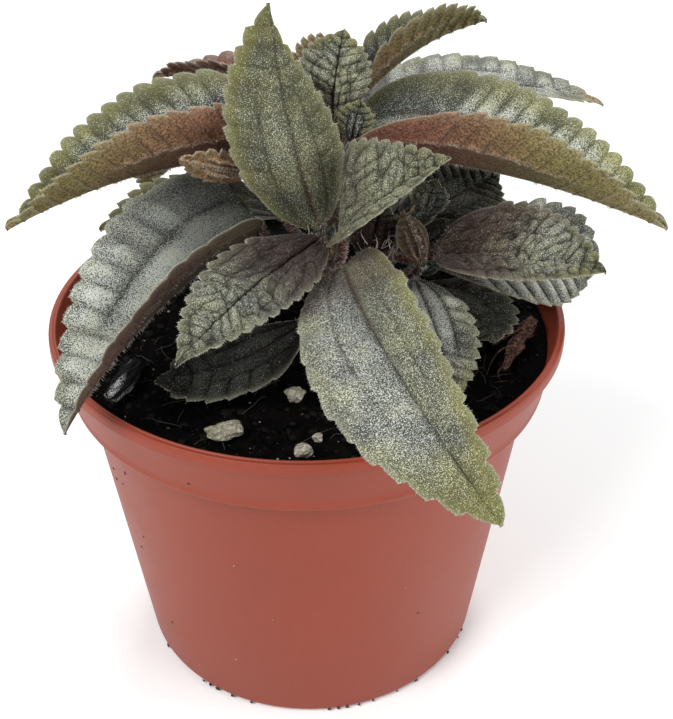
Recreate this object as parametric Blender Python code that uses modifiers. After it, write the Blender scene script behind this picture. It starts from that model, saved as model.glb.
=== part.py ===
"""Potted silver cloud pilea: a bushy foliage plant in a round plastic nursery pot.

Three shoots rise from the potting mix. Each leaf is one thin solid: a petiole that
starts at its stem, and a folded blade with side veins, puckers and a toothed margin.
The origin is the middle of the pot's base, and +Z is up.
"""
import math

import bmesh
import bpy
import numpy as np
from mathutils import Matrix, Vector
from mathutils.bvhtree import BVHTree

# Length of one millimetre in the scene, which is in metres
MM = 0.001
OBJECT_NAME = "potted_silver_cloud_pilea"
CLEARANCE = 0.3 * MM

# Pot: a 12 cm round nursery pot
POT_HEIGHT = 92 * MM
RIM_RADIUS = 60 * MM
MOUTH_RADIUS = 58.2 * MM
COLLAR_HEIGHT = 15 * MM
COLLAR_FOOT_RADIUS = 56.4 * MM
BODY_TOP_RADIUS = 53.1 * MM
BASE_RADIUS = 43.2 * MM
WALL = 1.6 * MM
FLOOR_THICKNESS = 2 * MM
LIP_HEIGHT = 3 * MM
BASE_EDGE = 1.5 * MM
POT_SEGMENTS = 48
DRAIN_HOLES = 8
DRAIN_RADIUS = 3.5 * MM
DRAIN_CIRCLE = 33 * MM

# Potting mix: its height at the wall, how much higher it is in the middle, its lumps
SOIL_EDGE = 86 * MM
SOIL_CROWN = 2 * MM
SOIL_RINGS = 6
SOIL_SEGMENTS = 36
LUMP_HEIGHT = 0.7 * MM
LUMP_WAVES = (210, 260, 430)

# Leaf blades
BLADE_THICKNESS = 0.7 * MM
PETIOLE_RADIUS = 0.9 * MM
TIP_HALF_WIDTH = 0.4 * MM
VEIN_SWEEP = 0.75
TOOTH_CREST = 0.7
TOOTH_LEAN = 0.6
TOOTH_FADE_WIDTH = 4
SMALL_ANGLE = 0.001
FIRST_STATION = 0.04
PETIOLE_STATIONS = 3
COLUMNS = (-1.0, -0.5, 0.0, 0.5, 1.0)

# Stems, in millimetres: points of the axis from the root end up, and the radius.
# STEM_TAPER is the share of the radius that is left at each of STEM_STEPS.
STEM_SIDES = 10
STEM_STEPS = (0, 0.2, 0.4, 0.6, 0.8, 0.94, 1)
STEM_TAPER = (1, 1, 0.95, 0.9, 0.85, 0.7, 0.3)
STEMS = {
    "stem_front": dict(axis=((2, -3, 76), (3, -7, 98), (4, -12, 113)), radius=1.6),
    "stem_back": dict(axis=((4, 8, 76), (6, 9, 108), (7, 10, 129)), radius=1.8),
    "stem_side": dict(axis=((14, 3, 76), (17, 1, 98), (19, 0, 111)), radius=1.5),
}

# Leaves, in millimetres and degrees. base, middle and tip are points of the midrib,
# foot is the height on the stem where the petiole starts, and face is the way that
# the upper side looks. width, fold, curl, widest and taper hold one value for the
# half on the left of the midrib, seen from above with the tip ahead, and one for the
# right: the half's width, its rise at the midrib, how much more it turns up towards
# the margin, where along the leaf it is widest, and how fast it narrows to the tip.
# unfold is how many degrees of each half's fold are lost by the tip. early_teeth is the
# size of the teeth next to the base, as a share of the largest ones, at the tip.
LEAVES = {
    "leaf_front_upright": dict(
        stem="stem_front", foot=111, base=(3, -9, 117), middle=(-3, -6, 138), tip=(-7, -2, 164),
        face=(0.15, -1, 0.3), width=(13, 10), fold=(8, -12), widest=(0.36, 0.24),
        taper=(1.2, 2.2), early_teeth=0.35, pucker=0.2, teeth=9, tone="silver"),
    "leaf_front_right": dict(
        stem="stem_front", foot=110, base=(7.5, -14, 117.3), middle=(14, -21, 128), tip=(29, -22, 139),
        face=(-0.4, -0.9, 1), width=(16, 8), fold=(-6, 50), widest=(0.13, 0.24),
        taper=(1.0, 1.1), teeth=8, pucker=0.9, tone="young"),
    "leaf_front_left": dict(
        stem="stem_front", foot=110, base=(3, -15, 117), middle=(-11, -38, 118.5),
        tip=(-24, -62, 117), face=(0.2, -0.3, 1), width=(8, 9), fold=(10, 6),
        widest=(0.32, 0.36), teeth=11, pucker=0.9, tone="young"),
    "leaf_over_front_rim": dict(
        stem="stem_front", foot=107, base=(8, -18, 112), middle=(16, -52, 110), tip=(34, -82, 95),
        face=(0.1, -0.3, 1), width=(10.5, 16.5), fold=(57, 2), curl=(-24, 0), widest=(0.22, 0.42),
        taper=(0.66, 1.05), early_teeth=0.35, pucker=0.25, teeth=10, tone="silver"),
    "leaf_over_left_rim": dict(
        stem="stem_front", foot=104, base=(-10, -5, 115), middle=(-32, -31, 108.8),
        tip=(-48, -54, 96), face=(-0.2, -0.2, 1), width=(16, 20), fold=(55, 50),
        widest=(0.34, 0.14), taper=(1.0, 0.9), unfold=(-6, 25), early_teeth=0.6, teeth=10,
        tone="silver"),
    "leaf_low_dark": dict(
        stem="stem_front", foot=92, base=(-1, -17, 98), middle=(-16, -27, 94), tip=(-33, -30, 91),
        face=(0, -0.1, 1), width=(10, 10), fold=(0, 0), teeth=7, tone="dark"),
    "leaf_back_right": dict(
        stem="stem_back", foot=121, base=(10, 8, 127), middle=(44, 0, 125), tip=(79, -10, 116),
        face=(0, -0.05, 1), width=(21, 20), fold=(52, 42), curl=(-15, 35), widest=(0.20, 0.30),
        taper=(1.0, 1.0), pucker=0.6, teeth=14, tone="silver"),
    "leaf_back_left": dict(
        stem="stem_back", foot=121, base=(3, 7, 127), middle=(-32, 0, 127), tip=(-64, -12, 119),
        face=(0, -0.05, 1), width=(20, 20), fold=(42, 52), curl=(35, -15), widest=(0.30, 0.24),
        taper=(1.0, 1.2), pucker=0.6, teeth=14, tone="silver"),
    "leaf_rear_right_high": dict(
        stem="stem_back", foot=117, base=(12, 17, 129), middle=(43, 36, 131), tip=(76, 46, 122),
        face=(0, -0.1, 1), width=(13.5, 15), fold=(12, 12), widest=(0.3, 0.3), teeth=12,
        tone="silver"),
    "leaf_rear_left_high": dict(
        stem="stem_back", foot=117, base=(2, 19, 131), middle=(-16, 32, 135), tip=(-37, 42, 132),
        face=(0, 0, 1), width=(11, 13), fold=(38, 10), widest=(0.28, 0.3), teeth=9, tone="red"),
    "leaf_top_right": dict(
        stem="stem_back", foot=125, base=(11, 13, 137), middle=(26, 17, 148), tip=(41, 22, 152),
        face=(0, 0, 1), width=(10, 11), fold=(26, 48), curl=(0, 12), widest=(0.28, 0.42),
        taper=(1.1, 1.2), teeth=10, tone="green"),
    "leaf_top_left": dict(
        stem="stem_back", foot=124, base=(6, 15, 131), middle=(7, 20, 140), tip=(10, 25, 147),
        face=(0, 1, 0.4), width=(9.5, 9.5), fold=(10, 10), teeth=9, tone="red"),
    "leaf_top_young": dict(
        stem="stem_back", foot=127, base=(6, 8, 132), middle=(7, 10, 144), tip=(9, 14, 153),
        face=(-0.2, -1, 0.4), width=(7.5, 7), fold=(10, 10), teeth=9, pucker=0.7, tone="young"),
    "leaf_top_bud": dict(
        stem="stem_back", foot=123, base=(10, 4, 131), middle=(11, 4, 136), tip=(12, 4, 141),
        face=(0, -1, 0.6), width=(3.5, 3.5), fold=(10, 10), early_teeth=0.3, teeth=5, pucker=0.3,
        tone="green"),
    "leaf_rear_middle": dict(
        stem="stem_back", foot=108, base=(8, 20, 116), middle=(8, 44, 116), tip=(14, 66, 96),
        face=(0, 0.2, 1), width=(16, 16), fold=(15, 15), teeth=10, tone="silver"),
    "leaf_rear_left_low": dict(
        stem="stem_back", foot=108, base=(-3, 20, 116), middle=(-25, 40, 113), tip=(-43, 55, 95),
        face=(-0.1, 0.1, 1), width=(14, 14), fold=(15, 15), teeth=10, tone="silver"),
    "leaf_left_under": dict(
        stem="stem_back", foot=103, base=(-5, 10, 110), middle=(-27, 12, 112), tip=(-48, 8, 108),
        face=(0, -0.1, 1), width=(11, 11), fold=(8, 8), teeth=10, tone="green"),
    "leaf_left_small": dict(
        stem="stem_back", foot=113, base=(-9, -4, 128), middle=(-17.5, -8.5, 131), tip=(-25.5, -17, 137),
        face=(0, 1, 0), width=(3.2, 3.2), fold=(5, 5), teeth=5, pucker=0.3, tone="red"),
    "leaf_side_broad": dict(
        stem="stem_side", foot=105, base=(29, -6, 108), middle=(47, -12, 110), tip=(64, -20, 111),
        face=(0, 0, 1), width=(14, 14), fold=(30, 10), widest=(0.24, 0.28), taper=(1.0, 0.9),
        teeth=11, pucker=0.9, tone="young"),
    "leaf_side_under": dict(
        stem="stem_side", foot=98, base=(27, 3, 101), middle=(48, 4, 101), tip=(68, 1, 100),
        face=(0, -0.1, 1), width=(15.5, 18), fold=(27, 3), widest=(0.55, 0.50),
        taper=(0.8, 1.0), teeth=9, tone="silver"),
    "leaf_side_narrow": dict(
        stem="stem_side", foot=96, base=(24, -8, 103), middle=(28, -24, 98), tip=(30, -40, 91),
        face=(0.1, -0.2, 1), width=(8, 8), fold=(10, 10), widest=(0.35, 0.35), teeth=9,
        tone="silver"),
    "leaf_side_low": dict(
        stem="stem_side", foot=91, base=(24, -3, 97), middle=(36, -6, 94), tip=(42, -16, 90.5),
        face=(0, -0.1, 1), width=(10, 10), fold=(0, 0), teeth=7, tone="dark"),
    "leaf_side_rear": dict(
        stem="stem_side", foot=102, base=(26, 9, 109), middle=(39, 19, 112), tip=(47, 23, 114),
        face=(-0.3, -0.6, 1), width=(10, 10), fold=(5, 5), teeth=9, tone="dark"),
    "leaf_side_bud": dict(
        stem="stem_side", foot=107, base=(26, 4, 111), middle=(28, 6, 115), tip=(30, 8, 120),
        face=(-0.3, -1, 0.6), width=(4, 4), fold=(20, 20), teeth=5, pucker=0.3, tone="dark"),
    "leaf_side_folded": dict(
        stem="stem_side", foot=99, base=(25.5, -8.5, 107), middle=(24.5, -9, 112.5), tip=(21, -5, 119),
        face=(-0.6, 0.8, 0.3), width=(4, 4), fold=(15, 20), teeth=7, pucker=0.3, tone="red"),
    "leaf_side_middle": dict(
        stem="stem_side", foot=101, base=(14, -4.5, 106), middle=(15, -5, 113), tip=(16.5, -3, 120.5),
        face=(0, -1, 0.4), width=(6, 4.8), fold=(10, 10), teeth=7, tone="dark"),
    "leaf_rear_right_low": dict(
        stem="stem_side", foot=98, base=(22, 13, 104), middle=(33, 35, 106), tip=(40, 56, 96),
        face=(0.1, 0.1, 1), width=(13, 13), fold=(15, 15), teeth=10, tone="silver"),
}

# What a leaf row leaves out
LEAF_DEFAULTS = dict(curl=(0, 0), widest=(0.42, 0.42), taper=(1.1, 1.1), unfold=(0, 0), pucker=0.5,
                     first_tooth=0.16, tooth_depth=1.4, early_teeth=0.7)

# Grains of perlite on the mix, in millimetres and degrees: where the middle lies,
# the three half sizes, and the turn about Z
GRAINS = {
    "perlite_front": dict(place=(-18, -44), size=(4.0, 2.4, 1.9), turn=-10),
    "perlite_middle": dict(place=(-3, -32.5), size=(2.7, 2.0, 1.6), turn=-30),
    "perlite_left": dict(place=(-15, -30), size=(1.9, 2.2, 1.3), turn=15),
    "perlite_edge": dict(place=(-1, -51), size=(1.8, 1.6, 1.5), turn=0),
    "perlite_small": dict(place=(1.5, -46), size=(1.1, 1.0, 0.9), turn=40),
}
GRAIN_ROUGHNESS = 0.16

# Scraps on the mix, in millimetres: points of the axis (the heights only shape it), and radii
SCRAPS = {
    "bark_chip": dict(
        axis=((-42.5, -32, 0), (-40, -26, 0.4), (-38.5, -19, 0)), radii=(1.5, 2.2, 2.0, 1.4),
        finish="bark"),
    "withered_stalk": dict(
        axis=((52.5, -5, 2), (48, -13, 1.5), (43.5, -22, 0)), radii=(1.3, 1.7, 1.5, 0.6),
        finish="withered"),
}
SCRAP_SIDES = 8

# Height at which a loose piece starts before it is lowered onto the mix
REST_START = 100 * MM

# Colour, roughness and metallic value of each finish
FINISHES = {
    "pot_plastic": ((0.42, 0.125, 0.085), 0.5),
    "potting_mix": ((0.012, 0.010, 0.009), 0.95),
    "perlite": ((0.62, 0.60, 0.52), 0.85),
    "bark": ((0.030, 0.030, 0.030), 0.8),
    "withered": ((0.16, 0.070, 0.055), 0.8),
    "stem": ((0.16, 0.060, 0.050), 0.6),
    "silver": ((0.26, 0.29, 0.24), 0.6),
    "green": ((0.24, 0.25, 0.10), 0.6),
    "young": ((0.20, 0.19, 0.15), 0.6),
    "dark": ((0.09, 0.11, 0.09), 0.6),
    "red": ((0.22, 0.085, 0.055), 0.6),
}


def unit(vectors):
    """The vectors scaled to length one, along the last axis."""
    return vectors / np.linalg.norm(vectors, axis=-1, keepdims=True)


class Arc:
    """A quadratic curve from start to end that passes middle halfway."""

    def __init__(self, start, middle, end):
        self.start = np.array(start, float)
        self.end = np.array(end, float)
        self.control = 2 * np.array(middle, float) - (self.start + self.end) / 2
        self.steps = np.linspace(0, 1, 101)
        spans = np.linalg.norm(np.diff(self.points(self.steps), axis=0), axis=1)
        self.length = spans.sum()
        self.shares = np.concatenate([[0], np.cumsum(spans)]) / self.length

    def points(self, t):
        t = np.asarray(t)[..., None]
        return (1 - t) ** 2 * self.start + 2 * t * (1 - t) * self.control + t ** 2 * self.end

    def tangents(self, t):
        t = np.asarray(t)[..., None]
        return unit((1 - t) * (self.control - self.start) + t * (self.end - self.control))

    def step_at(self, share):
        """The curve's own step at a share of its length."""
        return np.interp(share, self.shares, self.steps)

    def at_height(self, height):
        """The point of a rising curve at a height."""
        points = self.points(self.steps)
        step = np.interp(height, points[:, 2], self.steps)
        return self.points(step)


def clear_scene():
    """Remove the objects that a new scene starts with."""
    for obj in list(bpy.data.objects):
        bpy.data.objects.remove(obj)


def new_collection(name):
    """A collection linked to the scene."""
    collection = bpy.data.collections.new(name)
    bpy.context.scene.collection.children.link(collection)
    return collection


def finish_material(name):
    """The Principled material of one finish, made once."""
    if name in bpy.data.materials:
        return bpy.data.materials[name]
    colour, roughness = FINISHES[name]
    material = bpy.data.materials.new(name)
    material.use_nodes = True
    shader = material.node_tree.nodes["Principled BSDF"]
    shader.inputs["Base Color"].default_value = (*colour, 1)
    shader.inputs["Roughness"].default_value = roughness
    shader.inputs["Metallic"].default_value = 0
    return material


def add_part(name, mesh, finish, collection):
    """Link a mesh to the collection as one named sub-part with its finish."""
    obj = bpy.data.objects.new(name, mesh)
    collection.objects.link(obj)
    mesh.materials.clear()
    mesh.materials.append(finish_material(finish))
    return obj


def mesh_from_arrays(name, points, triangles):
    """A mesh from an array of points and one of triangles."""
    mesh = bpy.data.meshes.new(name)
    mesh.from_pydata(points.tolist(), [], triangles.tolist())
    return mesh


def turned_mesh(name, profile, segments):
    """A profile of (radius, height) points turned about Z by a Screw modifier."""
    mesh = bpy.data.meshes.new(name)
    points = [(radius, 0, height) for radius, height in profile]
    mesh.from_pydata(points, [(i, i + 1) for i in range(len(points) - 1)], [])
    obj = bpy.data.objects.new(name, mesh)
    bpy.context.scene.collection.objects.link(obj)
    screw = obj.modifiers.new("turn", "SCREW")
    screw.axis = "Z"
    screw.angle = 2 * math.pi
    screw.steps = segments
    screw.render_steps = segments
    screw.use_merge_vertices = True
    screw.merge_threshold = 0.01 * MM
    return applied_mesh(obj)


def applied_mesh(obj):
    """The object's evaluated mesh, with the object itself removed."""
    bpy.context.view_layer.update()
    evaluated = obj.evaluated_get(bpy.context.evaluated_depsgraph_get())
    mesh = bpy.data.meshes.new_from_object(evaluated)
    mesh.name = obj.name
    bpy.data.objects.remove(obj)
    return mesh


def tube_mesh(name, points, radii, sides):
    """A tube with closed ends along the points, from a bevelled curve."""
    curve = bpy.data.curves.new(name, "CURVE")
    curve.dimensions = "3D"
    curve.bevel_depth = 1
    curve.bevel_resolution = sides // 2 - 2
    curve.use_fill_caps = True
    spline = curve.splines.new("POLY")
    spline.points.add(len(points) - 1)
    for spot, point, radius in zip(spline.points, points, radii):
        spot.co = (*point, 1)
        spot.radius = radius
    obj = bpy.data.objects.new(name, curve)
    bpy.context.scene.collection.objects.link(obj)
    mesh = applied_mesh(obj)
    shape = bmesh.new()
    shape.from_mesh(mesh)
    bmesh.ops.remove_doubles(shape, verts=shape.verts, dist=0.001 * MM)
    bmesh.ops.recalc_face_normals(shape, faces=shape.faces)
    shape.to_mesh(mesh)
    shape.free()
    return mesh


def smooth(mesh, angle=40):
    """Shade a round piece smooth, with its corners kept sharp."""
    mesh.shade_smooth()
    mesh.set_sharp_from_angle(angle=math.radians(angle))


def subtract(obj, cutter):
    """Cut one object by another, which stays as a guide that doesn't render."""
    cutter.hide_render = True
    cutter.display_type = "WIRE"
    cut = obj.modifiers.new(cutter.name, "BOOLEAN")
    cut.operation = "DIFFERENCE"
    cut.solver = "EXACT"
    cut.object = cutter


# Pot

def inner_wall():
    """The inside of the pot from the floor's edge up to the mouth: (radius, height)."""
    collar_foot = POT_HEIGHT - COLLAR_HEIGHT
    return [
        (BASE_RADIUS - WALL, FLOOR_THICKNESS),
        (BODY_TOP_RADIUS - WALL, collar_foot - WALL),
        (COLLAR_FOOT_RADIUS - WALL, collar_foot + WALL),
        (MOUTH_RADIUS, POT_HEIGHT - 0.5 * MM),
    ]


def outer_wall():
    """The outside of the pot from the lip's top down to the base's edge."""
    collar_foot = POT_HEIGHT - COLLAR_HEIGHT
    lip_foot = POT_HEIGHT - LIP_HEIGHT
    return [
        (MOUTH_RADIUS + 0.5 * MM, POT_HEIGHT),
        (RIM_RADIUS - 0.5 * MM, POT_HEIGHT),
        (RIM_RADIUS, POT_HEIGHT - 0.6 * MM),
        (RIM_RADIUS, lip_foot + 0.4 * MM),
        (RIM_RADIUS - 0.6 * MM, lip_foot),
        (COLLAR_FOOT_RADIUS, collar_foot + 0.6 * MM),
        (COLLAR_FOOT_RADIUS - 0.6 * MM, collar_foot),
        (BODY_TOP_RADIUS, collar_foot - 0.4 * MM),
        (BASE_RADIUS + 0.1 * MM, BASE_EDGE),
        (BASE_RADIUS - BASE_EDGE, 0),
    ]


def build_pot(parts, cutters):
    """The thin-walled pot: a turned shell with drain holes through its floor."""
    profile = [(0, FLOOR_THICKNESS)] + inner_wall() + outer_wall() + [(0, 0)]
    pot = add_part("pot", turned_mesh("pot", profile, POT_SEGMENTS), "pot_plastic", parts)
    drills = bmesh.new()
    for hole in range(DRAIN_HOLES):
        angle = 2 * math.pi * hole / DRAIN_HOLES
        ring = bmesh.ops.create_cone(
            drills, cap_ends=True, segments=12, radius1=DRAIN_RADIUS, radius2=DRAIN_RADIUS,
            depth=4 * FLOOR_THICKNESS)
        spot = (DRAIN_CIRCLE * math.cos(angle), DRAIN_CIRCLE * math.sin(angle), 0)
        bmesh.ops.translate(drills, verts=ring["verts"], vec=spot)
    drill_mesh = bpy.data.meshes.new("drain_drills")
    drills.to_mesh(drill_mesh)
    drills.free()
    drill = bpy.data.objects.new("drain_drills", drill_mesh)
    cutters.objects.link(drill)
    subtract(pot, drill)
    return pot


# Potting mix

def soil_height(x, y):
    """The mix's surface: a low mound with lumps, flat at the wall."""
    share = np.clip(np.hypot(x, y) / MOUTH_RADIUS, 0, 1)
    along, across, fine = LUMP_WAVES
    lumps = np.sin(along * x + 1.3) * np.sin(across * y + 0.4) + 0.6 * np.sin(fine * (x + y))
    return SOIL_EDGE + SOIL_CROWN * (1 - share ** 2) + LUMP_HEIGHT * lumps * (1 - share ** 4)


def build_soil(parts, cutters):
    """The mix fills the pot to just below its lip, with a plain hole for each stem."""
    wall = inner_wall()
    edge_radius = np.interp(SOIL_EDGE, [point[1] for point in wall], [point[0] for point in wall])
    rings = [edge_radius * ring / SOIL_RINGS for ring in range(SOIL_RINGS)]
    profile = [(radius, SOIL_EDGE) for radius in rings]
    profile.append((edge_radius - CLEARANCE, SOIL_EDGE))
    side = [(radius - CLEARANCE, height) for radius, height in reversed(wall[:-1])]
    profile += side[:-1]
    profile.append((side[-1][0], FLOOR_THICKNESS + CLEARANCE))
    profile.append((0, FLOOR_THICKNESS + CLEARANCE))
    mesh = turned_mesh("soil", profile, SOIL_SEGMENTS)
    for vertex in mesh.vertices:
        if vertex.co.z > SOIL_EDGE - 0.01 * MM:
            vertex.co.z = soil_height(vertex.co.x, vertex.co.y)
    soil = add_part("soil", mesh, "potting_mix", parts)
    for name, row in STEMS.items():
        drill_mesh = stem_mesh(name + "_hole", row, CLEARANCE)
        drill = bpy.data.objects.new(name + "_hole", drill_mesh)
        cutters.objects.link(drill)
        subtract(soil, drill)
    return soil


# Stems

def stem_mesh(name, row, grow=0.0):
    """A stem along its axis, thinner and rounded at the growing tip."""
    arc = Arc(*row["axis"])
    points = arc.points(STEM_STEPS) * MM
    points[0] -= arc.tangents(0) * grow
    radii = row["radius"] * MM * np.array(STEM_TAPER) + grow
    return tube_mesh(name, points, radii, STEM_SIDES)


def build_stems(parts):
    """The three shoots, rooted in the mix."""
    for name, row in STEMS.items():
        mesh = stem_mesh(name, row)
        smooth(mesh)
        add_part(name, mesh, "stem", parts)


# Leaves

def tooth_phase(leaf, q):
    """How many teeth lie below a share q of the leaf's length, as a real number."""
    first = leaf["first_tooth"]
    return np.clip((q - first) / (1 - first), 0, 1) * leaf["teeth"]


def saw(phase):
    """A tooth: a slow rise to its crest and a steep fall to the next notch."""
    part = phase % 1
    return np.where(part < TOOTH_CREST, part / TOOTH_CREST, (1 - part) / (1 - TOOTH_CREST))


def pick(pair, v):
    """The value for the left half where v is positive, and else for the right half."""
    return np.where(v >= 0, pair[0], pair[1])


def outline(leaf, q, v):
    """Half width of the blade at a share q of its length: q^p (1-q)^r, scaled to peak."""
    widest = pick(leaf["widest"], v)
    taper = pick(leaf["taper"], v)
    rise = taper * widest / (1 - widest)
    peak = widest ** rise * (1 - widest) ** taper
    return pick(leaf["width"], v) * q ** rise * (1 - q) ** taper / peak


def blade_frame(leaf, share):
    """Midrib point, left and up vectors at shares of the blade's length."""
    arc = leaf["arc"]
    step = arc.step_at(share)
    tangent = arc.tangents(step)
    left = unit(np.cross(leaf["face"], tangent))
    return arc.points(step), left, np.cross(tangent, left)


def blade_surface(leaf, q, v):
    """Mid-surface of the blade, in millimetres.

    q runs along the midrib and v across it, from -1 at the right margin to 1 at the
    left one. A point lies a distance d from the midrib, on a cross curve that leaves
    it at the fold angle and turns up by the curl angle over the half's width. Cross
    curves sweep towards the tip as side veins do, and less so near the blade's ends.
    Between two side veins the surface swells, and at the margin each swelling ends in
    a tooth, which is full-sized where the half is wider than TOOTH_FADE_WIDTH.
    """
    phase = tooth_phase(leaf, q)
    half = outline(leaf, q, v)
    tooth = np.where((phase > 0) & (phase < leaf["teeth"]), saw(phase), 0)
    fade = np.clip(half / TOOTH_FADE_WIDTH, 0, 1)
    growth = leaf["early_teeth"] + (1 - leaf["early_teeth"]) * q
    tooth = tooth * leaf["tooth_depth"] * growth * fade * np.abs(v) ** 8
    distance = np.abs(v) * np.maximum(half, TIP_HALF_WIDTH / MM) + tooth
    sweep = VEIN_SWEEP * distance * (1 - q) ** 0.5 * q ** 0.3 + TOOTH_LEAN * tooth
    share = np.clip(q + sweep / leaf["arc"].length, 0, 1)
    middle, left, up = blade_frame(leaf, share)
    fold = np.radians(pick(leaf["fold"], v) - pick(leaf["unfold"], v) * q ** 2)
    curl = np.radians(pick(leaf["curl"], v))
    curl = np.where(np.abs(curl) < SMALL_ANGLE, SMALL_ANGLE, curl)
    width = pick(leaf["width"], v)
    turn = curl * distance / width
    aside = width * (np.sin(fold + turn) - np.sin(fold)) / curl
    rise = width * (np.cos(fold) - np.cos(fold + turn)) / curl
    swell = leaf["pucker"] * np.sin(np.pi * phase) ** 2 * np.sin(np.pi * np.abs(v)) ** 0.7
    side = np.where(v >= 0, 1.0, -1.0)
    return middle + (side * aside)[..., None] * left + (rise + swell)[..., None] * up


def petiole_surface(leaf, t, v):
    """Mid-surface of the petiole: from the stem outwards, then up to the blade."""
    stem = STEMS[leaf["stem"]]
    centre = Arc(*stem["axis"]).at_height(leaf["foot"])
    base = leaf["arc"].start
    outward = base - centre
    outward[2] = 0
    outward = unit(outward)
    foot = centre + outward * (stem["radius"] + 2 * CLEARANCE / MM)
    bend = foot + outward * 0.5 * np.linalg.norm(base - foot)
    t = t[..., None]
    middle = (1 - t) ** 2 * foot + 2 * t * (1 - t) * bend + t ** 2 * base
    tangent = unit((1 - t) * (bend - foot) + t * (base - bend))
    _, left, _ = blade_frame(leaf, np.zeros_like(t[..., 0]))
    left = unit(left - (left * tangent).sum(axis=-1, keepdims=True) * tangent)
    return middle + (v * PETIOLE_RADIUS / MM)[..., None] * left


def blade_stations(leaf):
    """Shares of the length: the base, then a notch and a crest for every tooth."""
    first = leaf["first_tooth"]
    pitch = (1 - first) / leaf["teeth"]
    stations = [FIRST_STATION, first / 2]
    for tooth in range(leaf["teeth"]):
        stations.append(first + tooth * pitch)
        stations.append(first + (tooth + TOOTH_CREST) * pitch)
    stations[-1] = 1.0
    return np.array(stations)


def leaf_mesh(name, leaf):
    """One leaf as a closed solid: the mid-surface thickened along its normals.

    The petiole is round. Below the blade it runs on as a rib along the midrib, which
    sinks into the blade towards the tip.
    """
    columns = np.array(COLUMNS)
    q, v = np.meshgrid(blade_stations(leaf), columns, indexing="ij")
    t, w = np.meshgrid(np.linspace(0, 1, PETIOLE_STATIONS, endpoint=False), columns, indexing="ij")
    middle = np.concatenate([petiole_surface(leaf, t, w), blade_surface(leaf, q, v)]) * MM
    normal = unit(np.cross(np.gradient(middle, axis=0), np.gradient(middle, axis=1)))
    thin = np.full_like(v, BLADE_THICKNESS / 2)
    stalk = np.maximum(BLADE_THICKNESS / 2, PETIOLE_RADIUS * np.sqrt(1 - w ** 2))
    rib = np.where(v == 0, np.maximum(thin, PETIOLE_RADIUS * (1 - q) ** 2), thin)
    upper = middle + normal * np.concatenate([stalk, thin])[..., None]
    lower = middle - normal * np.concatenate([stalk, rib])[..., None]
    return closed_sheet(name, upper, lower)


def band(one, other):
    """Triangles between two lines of points of equal length."""
    first = np.stack([one[:-1], one[1:], other[1:]], axis=-1)
    second = np.stack([one[:-1], other[1:], other[:-1]], axis=-1)
    return np.concatenate([first.reshape(-1, 3), second.reshape(-1, 3)])


def closed_sheet(name, upper, lower):
    """Close two grids of points into a solid whose faces are split alike."""
    rows, columns = upper.shape[:2]
    top = np.arange(rows * columns).reshape(rows, columns)
    under = top + rows * columns
    sheet = band(top[:, :-1], top[:, 1:])
    triangles = np.concatenate([
        sheet,
        sheet[:, ::-1] + rows * columns,
        band(top[:, -1], under[:, -1]),
        band(under[:, 0], top[:, 0]),
        band(top[0], under[0]),
        band(under[-1], top[-1]),
    ])
    points = np.concatenate([upper.reshape(-1, 3), lower.reshape(-1, 3)])
    return mesh_from_arrays(name, points, triangles)


def build_leaves(parts):
    """Every leaf is its own sub-part."""
    for name, row in LEAVES.items():
        leaf = {**LEAF_DEFAULTS, **row}
        leaf["arc"] = Arc(row["base"], row["middle"], row["tip"])
        add_part(name, leaf_mesh(name, leaf), row["tone"], parts)


# Grains and scraps on the mix

def rest_on(mesh, ground):
    """Lower or raise a mesh until it lies one clearance above the ground."""
    down = BVHTree.FromPolygons([v.co for v in ground.vertices], [p.vertices for p in ground.polygons])
    up = BVHTree.FromPolygons([v.co for v in mesh.vertices], [p.vertices for p in mesh.polygons])
    drops = [down.ray_cast(v.co, (0, 0, -1))[3] for v in mesh.vertices]
    drops += [up.ray_cast(v.co, (0, 0, 1))[3] for v in ground.vertices]
    fall = min(drop for drop in drops if drop is not None) - CLEARANCE
    for vertex in mesh.vertices:
        vertex.co.z -= fall


def build_grains(parts, ground):
    """Grains of perlite: small spheres made lumpy by a sum of sines."""
    for name, row in GRAINS.items():
        shape = bmesh.new()
        bmesh.ops.create_icosphere(shape, subdivisions=2, radius=1)
        turn = Matrix.Rotation(math.radians(row["turn"]), 3, "Z")
        for vertex in shape.verts:
            x, y, z = vertex.co
            lump = math.sin(5 * x + row["turn"]) + math.sin(4 * y - row["turn"]) + math.sin(6 * z)
            scaled = Vector(row["size"]) * MM * (1 + GRAIN_ROUGHNESS * lump)
            vertex.co = turn @ (vertex.co * scaled) + Vector((*row["place"], REST_START / MM)) * MM
        mesh = bpy.data.meshes.new(name)
        shape.to_mesh(mesh)
        shape.free()
        rest_on(mesh, ground)
        add_part(name, mesh, "perlite", parts)


def build_scraps(parts, ground):
    """A chip of bark and a withered stalk that lie on the mix."""
    for name, row in SCRAPS.items():
        radii = np.array(row["radii"]) * MM
        points = Arc(*row["axis"]).points(np.linspace(0, 1, len(radii))) * MM
        points[:, 2] += REST_START
        mesh = tube_mesh(name, points, radii, SCRAP_SIDES)
        rest_on(mesh, ground)
        smooth(mesh)
        add_part(name, mesh, row["finish"], parts)


def main():
    clear_scene()
    parts = new_collection(OBJECT_NAME)
    cutters = new_collection("cutters")
    build_pot(parts, cutters)
    soil = build_soil(parts, cutters)
    build_stems(parts)
    build_leaves(parts)
    build_grains(parts, soil.data)
    build_scraps(parts, soil.data)


main()
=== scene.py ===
# %% [markdown]
# # Potted silver cloud pilea
# The plant stands in a thin plastic nursery pot. Three short shoots carry soft, quilted,
# toothed leaves, silver above and red-brown below, with fine hairs on every edge and rib.
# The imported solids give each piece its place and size. This lesson grows the fine skin of
# every piece over them, and gives it its finish. The frame comes first, because all later
# work is measured from it.

# %% Load the frame
import math

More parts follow.
